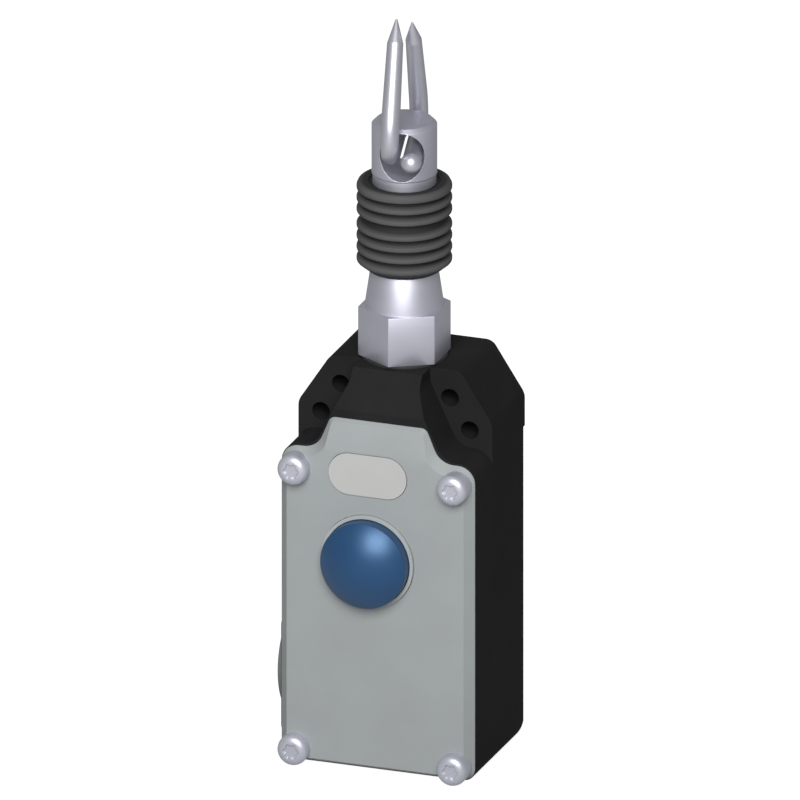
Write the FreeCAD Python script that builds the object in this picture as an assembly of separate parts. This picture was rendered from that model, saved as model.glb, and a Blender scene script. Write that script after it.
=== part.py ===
import FreeCAD, Part
import math
import os
from FreeCAD import Vector

# Rope pull switch, in millimetres.
# The origin is the centre of the bottom cable entry, on the axis of the pull rod.
# X runs to the right as seen from the front cover, Y to the back, Z up along the rod.
# Depths are given from the rod axis: a front depth counts towards the cover, at negative Y.

# Housing
housing_half_width = 24.0
housing_height = 97.0
housing_wall = 3.0
back_wall = 4.0
joint_depth = 17.5
back_depth = 15.0
pad_proud = 1.0
pad_bottom_height = 76.7
bottom_chamfer = 3.5
shoulder_flat_half = 16.0
shoulder_height = 84.7
shoulder_top_radius = 3.0
shoulder_side_radius = 4.0
ledge_depth = 6.15
ledge_height = 78.5
ledge_corner_radius = 4.5
flank_foot_half = 15.8
flank_foot_radius = 5.5
neck_half_width = 8.6
neck_height = 94.0
neck_radius = 5.0
brow_height = 88.4
brow_depth = 11.5
corner_radius = 3.0

# Holes through the shoulders for the wall screws
mount_hole_radius = 2.2
upper_hole_half = 13.5
upper_hole_height = 90.1
lower_hole_half = 18.4
lower_hole_height = 82.65

# Inside of the housing
cavity_floor = 3.0
cavity_top_half = 12.5
cavity_shoulder_height = 75.0
cavity_throat_half = 9.2
cavity_throat_height = 85.5
cavity_radius = 1.5

# Cable entries, M20 x 1.5, drawn at the root of the thread
entry_radius = 9.25
entry_boss_radius = 12.5
bottom_boss_height = 9.0
side_entry_height = 19.2
side_boss_length = 8.0

# Front cover
cover_half_width = 23.9
cover_bottom = 0.2
cover_thickness = 2.5
cover_side_height = 78.1
cover_lobe_radius = 4.2
cover_waist_half = 15.2
cover_waist_radius = 5.0
tongue_half_width = 11.1
tongue_height = 87.9
tongue_radius = 2.4
rim_inset = 1.4
rim_rise = 1.8
bevel_width = 3.1
tongue_slope_width = 6.0
tongue_slope_rise = 1.3

# Cover screws, M4 pan head
screw_half_spacing = 19.7
screw_low_height = 4.0
screw_high_height = 73.8
screw_radius = 2.0
screw_head_radius = 4.0
screw_head_height = 3.1
screw_length = 12.0
screw_seat_radius = 4.5
screw_seat_depth = 19.2
screw_boss_radius = 4.6
thread_gap = 0.05
recess_radius = 1.15
recess_lobes = 6

# Gasket under the cover
gasket_thickness = 0.8
gasket_width = 1.3
gasket_reach = 1.9
gasket_radius = 1.5

# Window
window_centre_x = -1.8
window_centre_height = 73.6
window_width = 19.3
window_height = 10.2
window_lip = 1.6
window_plate = 1.3
window_proud = 0.3
window_gap = 0.1

# Reset button
button_x = -1.8
button_height = 52.4
button_radius = 10.5
button_rim_depth = 23.5
button_dome = 4.2
button_skirt_end = 19.0
button_wall = 1.4
button_hub_radius = 3.8
button_hub_end = 20.4
button_travel = 3.0
collar_gap = 0.15
collar_wall = 0.8
collar_proud = 0.8
collar_flange_radius = 13.4
collar_flange = 1.4
collar_floor_depth = 14.6
collar_floor = 1.2
collar_plate_thickness = 1.2
collar_screw_circle = 15.0
collar_screw_angle = 150.0
collar_screw_radius = 1.25
collar_screw_head_radius = 2.3
collar_screw_head = 1.3
stem_radius = 2.5
stem_tip_depth = 13.2
stem_gap = 0.06
reset_coil_radius = 5.2
reset_coil_wire = 0.4
reset_coil_turns = 3
seal_ring_radius = 0.6

# Guide bush
hex_across_flats = 19.0
hex_top = 109.7
hex_chamfer = 0.9
cone_foot_radius = 9.25
cone_top_radius = 7.95
cone_top = 118.6
lip_groove_radius = 7.0
lip_groove_top = 121.0
bush_top = 122.5
bush_top_radius = 7.6
bush_shank_radius = 8.95
bush_shank_bottom = 86.0
bush_bore_radius = 5.5
sleeve_bottom = 89.0
sleeve_top = 119.0
washer_thickness = 0.6

# Pull rod and what is on it
rod_radius = 4.0
rod_gap = 0.05
rod_shoulder_radius = 6.4
rod_shoulder_bottom = 122.8
rod_shoulder_height = 3.2
rod_step_height = 34.0
tail_radius = 2.5
rod_bottom = 14.0
rod_travel = 10.0
seat_bottom = 61.0
seat_height = 3.0
seat_radius = 8.2
clip_thickness = 1.2
clip_radius = 5.6
clip_groove_radius = 3.4
clip_mouth = 3.0
cam_foot_radius = 8.6
cam_foot_height = 1.0
cam_nose_radius = 5.5
cam_ratio = 0.25
nut_across_flats = 8.0
nut_height = 4.0
main_coil_radius = 6.6
main_coil_wire = 0.65
main_coil_turns = 6
spring_washer_radius = 8.0
spring_washer_thickness = 1.4

# Bellows
bellows_ridge_radius = 11.15
bellows_groove_radius = 9.5
bellows_wall = 0.9
bellows_first_ridge = 121.3
bellows_pitch = 2.8
bellows_ridges = 7
bellows_wide_after = 4
bellows_wide_extra = 1.0
bellows_ridge_flat = 0.45
bellows_lip_gap = 0.15
bellows_lip_height = 1.5
bellows_mouth_radius = 8.4
bellows_top = 140.5

# Rod head with the cross bore
head_radius = 7.65
head_top = 155.5
head_chamfer = 1.0
head_step = 142.4
head_step_radius = 7.45
head_groove_top = 140.0
head_groove_bottom = 138.0
head_groove_radius = 6.6
head_bottom = 136.5
head_socket_depth = 5.0
head_turn = 14.6
bore_height = 148.7
bore_radius = 5.2
bore_flare = 1.2

# Hooks
hook_radius = 2.2
hook_tip_radius = 1.9
hook_offset = 2.55
hook_lean = 1.15
hook_leg_offset = 9.9
hook_bend_radius = 5.0
hook_elbow_radius = 12.0
hook_elbow_height = 156.8
hook_top = 180.0
hook_cross = 1.0
hook_point_length = 5.6
hook_point_radius = 0.25
hook_ball_radius = 2.45
hook_ball_offset = 10.3

# Side entry plug
plug_head_radius = 13.5
plug_head = 2.2
plug_rib_width = 2.5
plug_rib_height = 0.8
plug_rib_half = 11.0
plug_thread_radius = 9.2
plug_wall = 1.7
plug_length = 8.5
plug_seal_side = 29.2
plug_seal_thickness = 1.2
plug_seal_radius = 2.5

# Mechanism frame, bent from sheet
sheet = 1.4
frame_half_width = 11.2
frame_bottom = 20.6
frame_top = 68.0
ear_thickness = 1.2
ear_height = 4.8
tab_reach = 7.0
guide_radius = 5.0
guide_flange = 1.0
guide_height = 4.5
frame_screw_half = 6.0
frame_screw_low = 30.0
frame_screw_high = 50.0
small_screw_radius = 1.5
small_head_radius = 2.8
small_head_height = 1.8

# Latch lever
pivot_depth = 12.0
pivot_height = 62.0
pin_radius = 1.2
pin_gap = 0.05
lever_thickness = 2.0
lever_half_width = 4.0
lever_bottom = 50.2
lever_top = 70.8
lever_hub_radius = 2.6
tooth_height = 2.4
tooth_reach = 8.5
tooth_half_width = 2.5
latch_coil_radius = 1.9
latch_coil_wire = 0.3
latch_coil_turns = 3

# Indicator flag on the spring seat
flag_depth = 16.9
flag_thickness = 0.8
flag_half_width = 7.8
flag_bottom = 66.6
flag_top = 74.0
flag_arm_left = 4.6
flag_arm_right = 7.4

# Contact blocks, one at each side of the rod
block_inner = 11.5
block_outer = 20.7
block_wall = 1.5
block_front = 11.0
block_front_wall = 2.5
block_rear = 9.0
block_rear_wall = 3.0
block_bottom = 34.0
block_top = 57.0
block_skin = 2.0
block_ear_top = 64.0
block_screw_x = 16.4
block_screw_height = 60.3
block_pad_radius = 3.4
block_pad_low = 38.0
plunger_height = 46.0
plunger_radius = 2.0
plunger_gap = 0.05
plunger_flange_radius = 3.2
plunger_flange = 0.8
plunger_stroke_gap = 0.5
plunger_tail_radius = 1.1
bridge_thickness = 0.8
bridge_half_width = 3.0
bridge_half_height = 8.4
rivet_radius = 1.6
rivet_height = 0.7
rivet_offset = 6.6
contact_gap = 0.05
contact_thickness = 0.5
contact_half_height = 2.2
terminal_thickness = 0.9
plunger_coil_radius = 1.9
plunger_coil_wire = 0.25
plunger_coil_turns = 3

# Earth connection on the back wall
earth_x = 15.0
earth_height = 14.0
earth_boss = 3.0
earth_boss_radius = 4.6
earth_screw_radius = 2.0
earth_head_radius = 4.0
earth_head = 2.6
earth_clamp_side = 8.4
earth_clamp = 1.2

front = Vector(0, -1, 0)
back = Vector(0, 1, 0)
right = Vector(1, 0, 0)
up = Vector(0, 0, 1)

# Sizes worked out from the ones above
cover_front_depth = joint_depth + cover_thickness
cavity_half_width = housing_half_width - housing_wall
cavity_back = back_depth - back_wall
spring_top = bush_shank_bottom - spring_washer_thickness
spring_bottom = seat_bottom + seat_height
clip_bottom = seat_bottom - clip_thickness
sleeve_inner = rod_radius + rod_gap
nut_top = rod_step_height - 0.2


def rounded_wire(corners, place):
    """Closed wire through corners (u, v, radius); place turns (u, v) into a point in space."""
    ends = []
    for index, (u, v, radius) in enumerate(corners):
        here = Vector(u, v, 0)
        before = Vector(corners[index - 1][0], corners[index - 1][1], 0)
        after_corner = corners[(index + 1) % len(corners)]
        after = Vector(after_corner[0], after_corner[1], 0)
        if radius <= 0:
            ends.append((here, None, here))
            continue
        to_before = (before - here).normalize()
        to_after = (after - here).normalize()
        half_angle = to_before.getAngle(to_after) / 2
        reach = radius / math.tan(half_angle)
        middle = (to_before + to_after).normalize()
        crown = here + middle * (radius / math.sin(half_angle) - radius)
        ends.append((here + to_before * reach, crown, here + to_after * reach))
    edges = []
    for index, (start, crown, end) in enumerate(ends):
        last = ends[index - 1][2]
        if last.distanceToPoint(start) > 1e-6:
            edges.append(Part.makeLine(place(last.x, last.y), place(start.x, start.y)))
        if crown is not None:
            arc = Part.Arc(place(start.x, start.y), place(crown.x, crown.y), place(end.x, end.y))
            edges.append(arc.toShape())
    return Part.Wire(edges)


def front_wire(corners, y):
    """Rounded outline in the front view, at depth y."""
    return rounded_wire(corners, lambda u, v: Vector(u, y, v))


def front_prism(corners, y_front, y_back):
    """Solid with a rounded front outline, from y_front back to y_back."""
    face = Part.Face(front_wire(corners, y_front))
    return face.extrude(Vector(0, y_back - y_front, 0))


def side_prism(corners, x_low, x_high):
    """Solid with a rounded outline in the side view, corners (y, z, radius), along X."""
    face = Part.Face(rounded_wire(corners, lambda u, v: Vector(x_low, u, v)))
    return face.extrude(Vector(x_high - x_low, 0, 0))


def mirrored(half):
    """Whole outline, counted round once, from the right half listed from the bottom up."""
    left = [(-x, z, radius) for x, z, radius in reversed(half)]
    return list(half) + left


def inset(corners, distance):
    """Outline moved inwards by distance, with every arc kept concentric."""
    lines = []
    for index, (u, v, _) in enumerate(corners):
        next_u, next_v, _ = corners[(index + 1) % len(corners)]
        along = Vector(next_u - u, next_v - v, 0).normalize()
        inward = Vector(-along.y, along.x, 0)
        lines.append((Vector(u, v, 0) + inward * distance, along))
    moved = []
    for index, (_, _, radius) in enumerate(corners):
        point_a, along_a = lines[index - 1]
        point_b, along_b = lines[index]
        turn = along_a.x * along_b.y - along_a.y * along_b.x
        gap = point_b - point_a
        step = (gap.x * along_b.y - gap.y * along_b.x) / turn
        corner = point_a + along_a * step
        if radius > 0:
            radius = radius - distance if turn > 0 else radius + distance
        moved.append((corner.x, corner.y, radius))
    return moved


def cylinder(radius, start, end):
    """Cylinder between two points on its axis."""
    axis = end - start
    return Part.makeCylinder(radius, axis.Length, start, axis)


def y_cylinder(radius, x, z, y_front, y_back):
    """Cylinder along Y."""
    return cylinder(radius, Vector(x, y_front, z), Vector(x, y_back, z))


def z_cylinder(radius, z_low, z_high):
    """Cylinder on the rod axis."""
    return cylinder(radius, Vector(0, 0, z_low), Vector(0, 0, z_high))


def turned(profile):
    """Solid turned about the rod axis from a profile of (radius, height) points."""
    points = [Vector(radius, 0, height) for radius, height in profile]
    return Part.Face(Part.makePolygon(points + points[:1])).revolve(Vector(0, 0, 0), up, 360)


def turned_along_y(profile, x, z):
    """Solid turned about a line along Y from a profile of (radius, y) points."""
    points = [Vector(x + radius, y, z) for radius, y in profile]
    face = Part.Face(Part.makePolygon(points + points[:1]))
    return face.revolve(Vector(x, 0, z), back, 360)


def box(low, high):
    """Box between two opposite corners."""
    size = high - low
    return Part.makeBox(size.x, size.y, size.z, low)


def hexagon(across_flats, z_low, z_high):
    """Hexagonal bar on the rod axis, with a corner to the front."""
    corner = across_flats / 2 / math.cos(math.radians(30))
    points = []
    for index in range(7):
        angle = math.radians(60 * index - 90)
        points.append(Vector(corner * math.cos(angle), corner * math.sin(angle), z_low))
    return Part.Face(Part.makePolygon(points)).extrude(Vector(0, 0, z_high - z_low))


def coil(wire_radius, mean_radius, length, turns):
    """Helical spring along +Z, each half turn a piece of a torus in its own tilted plane.

    The spring fills the height from 0 to length, with its wire just inside both ends.
    """
    rise = (length - 2 * wire_radius) / turns / 2
    pieces = []
    for index in range(2 * turns):
        side = 1 if index % 2 == 0 else -1
        start = Vector(side * mean_radius, 0, wire_radius + index * rise)
        chord = Vector(-2 * side * mean_radius, 0, rise)
        centre = start + chord * 0.5
        axis = chord.cross(Vector(0, side, 0)) * -1
        section = Part.Face(Part.Wire([Part.makeCircle(wire_radius, start, back)]))
        pieces.append(section.revolve(centre, axis, 180))
    return pieces[0].multiFuse(pieces[1:]).removeSplitter()


def pan_screw(radius, head_radius, head_height, length):
    """Pan-head screw along +Z: the head's seat is at 0 and the shank goes down."""
    side_top = Vector(head_radius, 0, head_height * 0.45)
    shoulder = Vector(head_radius * 0.88, 0, head_height * 0.8)
    crown = Vector(head_radius * 0.62, 0, head_height)
    corners = [
        crown,
        Vector(0, 0, head_height),
        Vector(0, 0, -length),
        Vector(radius, 0, -length),
        Vector(radius, 0, 0),
        Vector(head_radius, 0, 0),
        side_top,
    ]
    edges = [Part.makeLine(start, end) for start, end in zip(corners, corners[1:])]
    edges.append(Part.Arc(side_top, shoulder, crown).toShape())
    return Part.Face(Part.Wire(edges)).revolve(Vector(0, 0, 0), up, 360)


def placed(shape, target, direction):
    """Copy of a shape made along +Z, with its origin at target and +Z turned to direction."""
    copy = shape.copy()
    copy.Placement = FreeCAD.Placement(target, FreeCAD.Rotation(up, direction))
    return copy


def head_frame(shape):
    """Turns a shape from the cross bore's own directions to the rod head's place."""
    copy = shape.copy()
    copy.rotate(Vector(0, 0, 0), up, head_turn)
    return copy


def save(name, *solids):
    """Writes one node; several solids stay separate in it."""
    shape = solids[0] if len(solids) == 1 else Part.makeCompound(list(solids))
    shape.exportStep("parts/" + name + ".step")
    print(name, len(shape.Solids), shape.isValid(), round(shape.Volume, 2))


def housing_front_outline():
    """Outline of the housing in front of its shoulder ledges."""
    half = [
        (housing_half_width, 0, corner_radius),
        (housing_half_width, ledge_height, ledge_corner_radius),
        (flank_foot_half, ledge_height, flank_foot_radius),
        (neck_half_width, neck_height, neck_radius),
        (neck_half_width, housing_height, 0),
    ]
    return mirrored(half)


def cover_outline():
    """Outline of the cover at the joint."""
    half = [
        (cover_half_width, cover_bottom, corner_radius),
        (cover_half_width, cover_side_height, cover_lobe_radius),
        (cover_waist_half, cover_side_height, cover_waist_radius),
        (tongue_half_width, tongue_height, tongue_radius),
    ]
    return mirrored(half)


def cover_screw_places():
    """Places of the four cover screws, as (x, z)."""
    places = []
    for height in (screw_low_height, screw_high_height):
        for side in (-1, 1):
            places.append((side * screw_half_spacing, height))
    return places


def make_housing_body():
    """Moulded housing, open at the front."""
    shoulder = mirrored([
        (housing_half_width, 0, corner_radius),
        (housing_half_width, shoulder_height, shoulder_side_radius),
        (shoulder_flat_half, housing_height, shoulder_top_radius),
    ])
    body = front_prism(shoulder, -ledge_depth, back_depth)
    pad = front_prism(shoulder, back_depth, back_depth + pad_proud)
    pad_room = box(
        Vector(-housing_half_width, back_depth, pad_bottom_height),
        Vector(housing_half_width, back_depth + pad_proud, housing_height),
    )
    body = body.fuse(pad.common(pad_room))
    body = body.fuse(front_prism(housing_front_outline(), -joint_depth, -ledge_depth))
    brow = side_prism(
        [
            (-joint_depth - 1, brow_height, 0),
            (-joint_depth, brow_height, 0),
            (-brow_depth, housing_height, 0),
            (-brow_depth, housing_height + 1, 0),
            (-joint_depth - 1, housing_height + 1, 0),
        ],
        -housing_half_width,
        housing_half_width,
    )
    body = body.cut(brow)
    heel = side_prism(
        [
            (back_depth + 1, -1, 0),
            (back_depth + 1, bottom_chamfer + 1, 0),
            (back_depth - bottom_chamfer - 1, -1, 0),
        ],
        -housing_half_width - 1,
        housing_half_width + 1,
    )
    body = body.cut(heel)

    cavity = front_prism(
        mirrored([
            (cavity_half_width, cavity_floor, cavity_radius),
            (cavity_half_width, cavity_shoulder_height, cavity_radius),
            (cavity_top_half, cavity_shoulder_height, cavity_radius),
            (cavity_throat_half, cavity_throat_height, cavity_radius),
        ]),
        -joint_depth - 1,
        cavity_back,
    )
    kept = [z_cylinder(entry_boss_radius, 0, bottom_boss_height)]
    kept.append(cylinder(
        entry_boss_radius,
        Vector(-housing_half_width, 0, side_entry_height),
        Vector(-housing_half_width + side_boss_length, 0, side_entry_height),
    ))
    for x, z in cover_screw_places():
        kept.append(y_cylinder(screw_boss_radius, x, z, -joint_depth, cavity_back))
    for side in (-1, 1):
        x = side * block_screw_x
        kept.append(y_cylinder(block_pad_radius, x, block_screw_height, block_rear, cavity_back))
        kept.append(y_cylinder(block_pad_radius, x, block_pad_low, block_rear, cavity_back))
    kept.append(y_cylinder(
        earth_boss_radius, earth_x, earth_height, cavity_back - earth_boss, cavity_back,
    ))
    body = body.cut(cavity.cut(Part.makeCompound(kept)))

    bores = [z_cylinder(entry_radius, -1, bottom_boss_height + 1)]
    bores.append(cylinder(
        entry_radius,
        Vector(-housing_half_width - 1, 0, side_entry_height),
        Vector(-housing_half_width + side_boss_length + 1, 0, side_entry_height),
    ))
    bores.append(z_cylinder(
        bush_shank_radius + thread_gap, bush_shank_bottom - spring_washer_thickness,
        housing_height + 1,
    ))
    for x, z in cover_screw_places():
        depth = -screw_seat_depth + screw_length + 1
        bores.append(y_cylinder(screw_radius + thread_gap, x, z, -joint_depth - 1, depth))
    for half, height in ((upper_hole_half, upper_hole_height), (lower_hole_half, lower_hole_height)):
        for side in (-1, 1):
            bores.append(y_cylinder(
                mount_hole_radius, side * half, height, -joint_depth, back_depth + pad_proud + 1,
            ))
    small_bore = small_screw_radius + thread_gap
    for side in (-1, 1):
        bores.append(y_cylinder(
            small_bore, side * block_screw_x, block_screw_height, block_rear - 1, cavity_back + 3,
        ))
        for height in (frame_screw_low, frame_screw_high):
            bores.append(y_cylinder(
                small_bore, side * frame_screw_half, height, cavity_back - 1, cavity_back + 3,
            ))
    bores.append(y_cylinder(
        earth_screw_radius + thread_gap, earth_x, earth_height,
        cavity_back - earth_boss - 1, cavity_back + 3,
    ))
    return body.cut(Part.makeCompound(bores)).removeSplitter()


def gasket_outline():
    """Outer edge of the cover gasket: on the housing's rim, and inside the cover screws."""
    past_screw = (screw_radius + 0.8) * math.sqrt(2)
    low_sum = screw_half_spacing - screw_low_height - past_screw
    high_sum = screw_half_spacing + screw_high_height - past_screw
    half_width = cavity_half_width + gasket_reach
    low = cavity_floor - gasket_reach
    waist = cavity_shoulder_height + 1.0
    return mirrored([
        (low + low_sum, low, gasket_radius),
        (half_width, half_width - low_sum, gasket_radius),
        (half_width, high_sum - half_width, gasket_radius),
        (high_sum - waist, waist, gasket_radius),
        (cavity_throat_half + 1.2, cavity_throat_height + gasket_reach, gasket_radius),
    ])


def gasket_ring(y_front, y_back):
    """Band of the gasket's outline and width between two depths."""
    band = front_prism(gasket_outline(), y_front, y_back)
    hole = front_prism(inset(gasket_outline(), gasket_width), y_front - 1, y_back + 1)
    return band.cut(hole)


def stadium(width, height, x, z, y_front, y_back):
    """Oval plate with round ends, along Y."""
    half = width / 2
    rise = height / 2
    corners = [
        (x - half, z - rise, rise),
        (x + half, z - rise, rise),
        (x + half, z + rise, rise),
        (x - half, z + rise, rise),
    ]
    return front_prism(corners, y_front, y_back)


def make_front_cover():
    """Cover plate with chamfered rim, gentle bevels and a sloped tongue."""
    outline = cover_outline()
    slope_inset = rim_inset * cover_thickness / rim_rise
    foot = front_wire(outline, -joint_depth)
    crown = front_wire(inset(outline, slope_inset), -cover_front_depth)
    cover = Part.makeLoft([foot, crown], True, True)

    rim_depth = joint_depth + rim_rise
    past = 5.0
    bevel_rise = cover_front_depth - rim_depth
    slope = bevel_rise / bevel_width
    rim_half = cover_half_width - rim_inset
    for side in (-1, 1):
        wedge = Part.makePolygon([
            Vector(side * (rim_half - bevel_width), -cover_front_depth, -past),
            Vector(side * (rim_half + past), -rim_depth + past * slope, -past),
            Vector(side * (rim_half + past), -cover_front_depth - past, -past),
            Vector(side * (rim_half - bevel_width), -cover_front_depth - past, -past),
            Vector(side * (rim_half - bevel_width), -cover_front_depth, -past),
        ])
        cover = cover.cut(Part.Face(wedge).extrude(Vector(0, 0, tongue_height + 2 * past)))
    top_rim = tongue_height - rim_inset
    top_slope = tongue_slope_rise / tongue_slope_width
    cover = cover.cut(side_prism(
        [
            (-cover_front_depth, top_rim - tongue_slope_width, 0),
            (-cover_front_depth + tongue_slope_rise + past * top_slope, top_rim + past, 0),
            (-cover_front_depth - past, top_rim + past, 0),
            (-cover_front_depth - past, top_rim - tongue_slope_width, 0),
        ],
        -housing_half_width,
        housing_half_width,
    ))

    tools = [gasket_ring(-joint_depth - gasket_thickness, -joint_depth + 1)]
    for x, z in cover_screw_places():
        tools.append(y_cylinder(screw_radius + 0.3, x, z, -cover_front_depth - 1, 0))
        tools.append(y_cylinder(
            screw_seat_radius, x, z, -cover_front_depth - 2, -screw_seat_depth,
        ))
    plate_back = -cover_front_depth - window_proud + window_plate
    tools.append(stadium(
        window_width + 2 * window_gap, window_height + 2 * window_gap, window_centre_x,
        window_centre_height, -cover_front_depth - 1, plate_back,
    ))
    tools.append(stadium(
        window_width - 2 * window_lip + 2 * window_gap,
        window_height - 2 * window_lip + 2 * window_gap,
        window_centre_x, window_centre_height, -cover_front_depth - 1, 0,
    ))
    tools.append(y_cylinder(
        collar_outer_radius() + thread_gap, button_x, button_height, -cover_front_depth - 1, 0,
    ))
    for x, z in collar_screw_places():
        tools.append(y_cylinder(collar_screw_radius + thread_gap, x, z, -joint_depth - 1.8, 0))
    return cover.cut(Part.makeCompound(tools)).removeSplitter()


def collar_outer_radius():
    """Outer radius of the ring that guides the button."""
    return button_radius + collar_gap + collar_wall


def collar_screw_places():
    """Places of the two screws of the collar plate, opposite each other, as (x, z)."""
    places = []
    for angle in (collar_screw_angle, collar_screw_angle + 180):
        along = collar_screw_circle * math.cos(math.radians(angle))
        rise = collar_screw_circle * math.sin(math.radians(angle))
        places.append((button_x + along, button_height + rise))
    return places


def make_window():
    """Oval window plate with a step that fills the hole in the cover."""
    front_y = -cover_front_depth - window_proud
    plate = stadium(
        window_width, window_height, window_centre_x, window_centre_height,
        front_y, front_y + window_plate,
    )
    step = stadium(
        window_width - 2 * window_lip, window_height - 2 * window_lip, window_centre_x,
        window_centre_height, front_y + window_plate, -joint_depth,
    )
    return plate.fuse(step).removeSplitter()


def make_cover_screw():
    """Pan-head cover screw with a six-lobe recess, along +Z."""
    screw = pan_screw(screw_radius, screw_head_radius, screw_head_height, screw_length)
    depth = screw_head_height * 0.55
    recess = Part.makeCylinder(recess_radius, depth, Vector(0, 0, screw_head_height - depth))
    lobes = [recess]
    for index in range(recess_lobes):
        angle = 2 * math.pi * index / recess_lobes
        centre = Vector(recess_radius * math.cos(angle), recess_radius * math.sin(angle), 0)
        centre.z = screw_head_height - depth
        lobes.append(Part.makeCylinder(recess_radius * 0.32, depth, centre))
    return screw.cut(lobes[0].multiFuse(lobes[1:]))


def make_reset_group():
    """Button, stem and guide collar of the reset, all on one axis along Y."""
    rim = -button_rim_depth
    skirt_inner = button_radius - button_wall
    skirt_end = -button_skirt_end
    hub_end = -button_hub_end
    roof = rim + 0.6
    dome_radius = (button_radius ** 2 + button_dome ** 2) / (2 * button_dome)
    dome_centre = Vector(button_x, rim - button_dome + dome_radius, button_height)
    dome = Part.makeSphere(dome_radius, dome_centre)
    dome = dome.common(y_cylinder(
        button_radius, button_x, button_height, rim - button_dome - 1, rim,
    ))
    skirt = turned_along_y(
        [
            (0, rim),
            (button_radius, rim),
            (button_radius, skirt_end),
            (skirt_inner, skirt_end),
            (skirt_inner, roof),
            (button_hub_radius, roof),
            (button_hub_radius, hub_end),
            (stem_radius, hub_end),
            (stem_radius, roof),
            (0, roof),
        ],
        button_x,
        button_height,
    )
    button = dome.fuse(skirt).removeSplitter()

    stem = y_cylinder(stem_radius, button_x, button_height, roof, -stem_tip_depth - stem_radius)
    tip_centre = Vector(button_x, -stem_tip_depth - stem_radius, button_height)
    stem = stem.fuse(Part.makeSphere(stem_radius, tip_centre)).removeSplitter()

    outer = collar_outer_radius()
    inner = button_radius + collar_gap
    floor_back = -collar_floor_depth
    floor_front = floor_back - collar_floor
    flange_back = -joint_depth + collar_flange
    bore = stem_radius + stem_gap
    ring_groove = bore + 2 * seal_ring_radius
    collar = turned_along_y(
        [
            (inner, -cover_front_depth - collar_proud),
            (outer, -cover_front_depth - collar_proud),
            (outer, -joint_depth),
            (collar_flange_radius, -joint_depth),
            (collar_flange_radius, flange_back),
            (outer, flange_back),
            (outer, floor_back),
            (bore, floor_back),
            (bore, floor_front + 0.2),
            (ring_groove, floor_front + 0.2),
            (ring_groove, floor_front - 1.2),
            (ring_groove + 0.6, floor_front - 1.2),
            (ring_groove + 0.6, floor_front),
            (inner, floor_front),
        ],
        button_x,
        button_height,
    )
    ring_centre = Vector(button_x, floor_front - 0.45, button_height)
    seal = Part.makeTorus(bore + seal_ring_radius + 0.02, seal_ring_radius - 0.04, ring_centre, back)
    spring_start = Vector(button_x, floor_front, button_height)
    spring = coil(reset_coil_wire, reset_coil_radius, floor_front - roof, reset_coil_turns)
    spring = placed(spring, spring_start, front)
    return button, stem, collar, seal, spring


def make_collar_plate():
    """Plate that clamps the collar's flange to the cover, with its two screws."""
    plate_front = -joint_depth + collar_flange
    plate_back = plate_front + collar_plate_thickness
    plate = y_cylinder(collar_flange_radius, button_x, button_height, plate_front, plate_back)
    screw = pan_screw(
        collar_screw_radius, collar_screw_head_radius, collar_screw_head,
        collar_plate_thickness + collar_flange + 1.6,
    )
    lobes = []
    holes = [y_cylinder(
        collar_outer_radius() + 0.1, button_x, button_height, plate_front - 1, plate_back + 1,
    )]
    screws = []
    for x, z in collar_screw_places():
        lobes.append(y_cylinder(collar_screw_head_radius + 0.6, x, z, plate_front, plate_back))
        holes.append(y_cylinder(
            collar_screw_radius + 0.15, x, z, plate_front - 1, plate_back + 1,
        ))
        screws.append(placed(screw, Vector(x, plate_back, z), back))
    plate = plate.multiFuse(lobes).cut(Part.makeCompound(holes)).removeSplitter()
    return plate, screws


def make_guide_bush():
    """Bush screwed into the housing: spanner hexagon, cone and the groove for the bellows."""
    corner = hex_across_flats / 2 / math.cos(math.radians(30))
    hexagonal = hexagon(hex_across_flats, housing_height + washer_thickness, hex_top)
    chamfer_reach = corner - hex_across_flats / 2 + hex_chamfer
    rise = chamfer_reach * math.tan(math.radians(30))
    chamfer = turned([
        (0, housing_height - 1),
        (corner + 1, housing_height - 1),
        (corner + 1, hex_top - rise - math.tan(math.radians(30))),
        (corner - chamfer_reach, hex_top),
        (0, hex_top),
    ])
    hexagonal = hexagonal.common(chamfer)
    spindle = turned([
        (0, bush_shank_bottom),
        (bush_shank_radius, bush_shank_bottom),
        (bush_shank_radius, hex_top - 1),
        (cone_foot_radius, hex_top - 1),
        (cone_foot_radius, hex_top),
        (cone_top_radius, cone_top),
        (lip_groove_radius, cone_top),
        (lip_groove_radius, lip_groove_top),
        (bush_top_radius, lip_groove_top),
        (bush_top_radius, bush_top),
        (0, bush_top),
    ])
    bore = z_cylinder(bush_bore_radius, bush_shank_bottom - 1, bush_top + 1)
    return hexagonal.fuse(spindle).cut(bore).removeSplitter()


def make_bush_washer():
    """Flat seal between the hexagon and the housing."""
    outer = hex_across_flats / 2 + 0.6
    ring = z_cylinder(outer, housing_height, housing_height + washer_thickness)
    return ring.cut(z_cylinder(bush_shank_radius + 0.1, housing_height - 1, housing_height + 2))


def tube(outer, inner, z_low, z_high):
    """Plain tube on the rod axis."""
    return z_cylinder(outer, z_low, z_high).cut(z_cylinder(inner, z_low - 1, z_high + 1))


def make_rod_seal():
    """Wiper ring above the sleeve, with its lip against the rod."""
    low = sleeve_top
    high = bush_top - 0.1
    lip = sleeve_inner + 0.1
    return turned([
        (lip, low),
        (bush_bore_radius, low),
        (bush_bore_radius, high),
        (lip + 0.5, high),
        (lip, high - 0.6),
    ])


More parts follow.
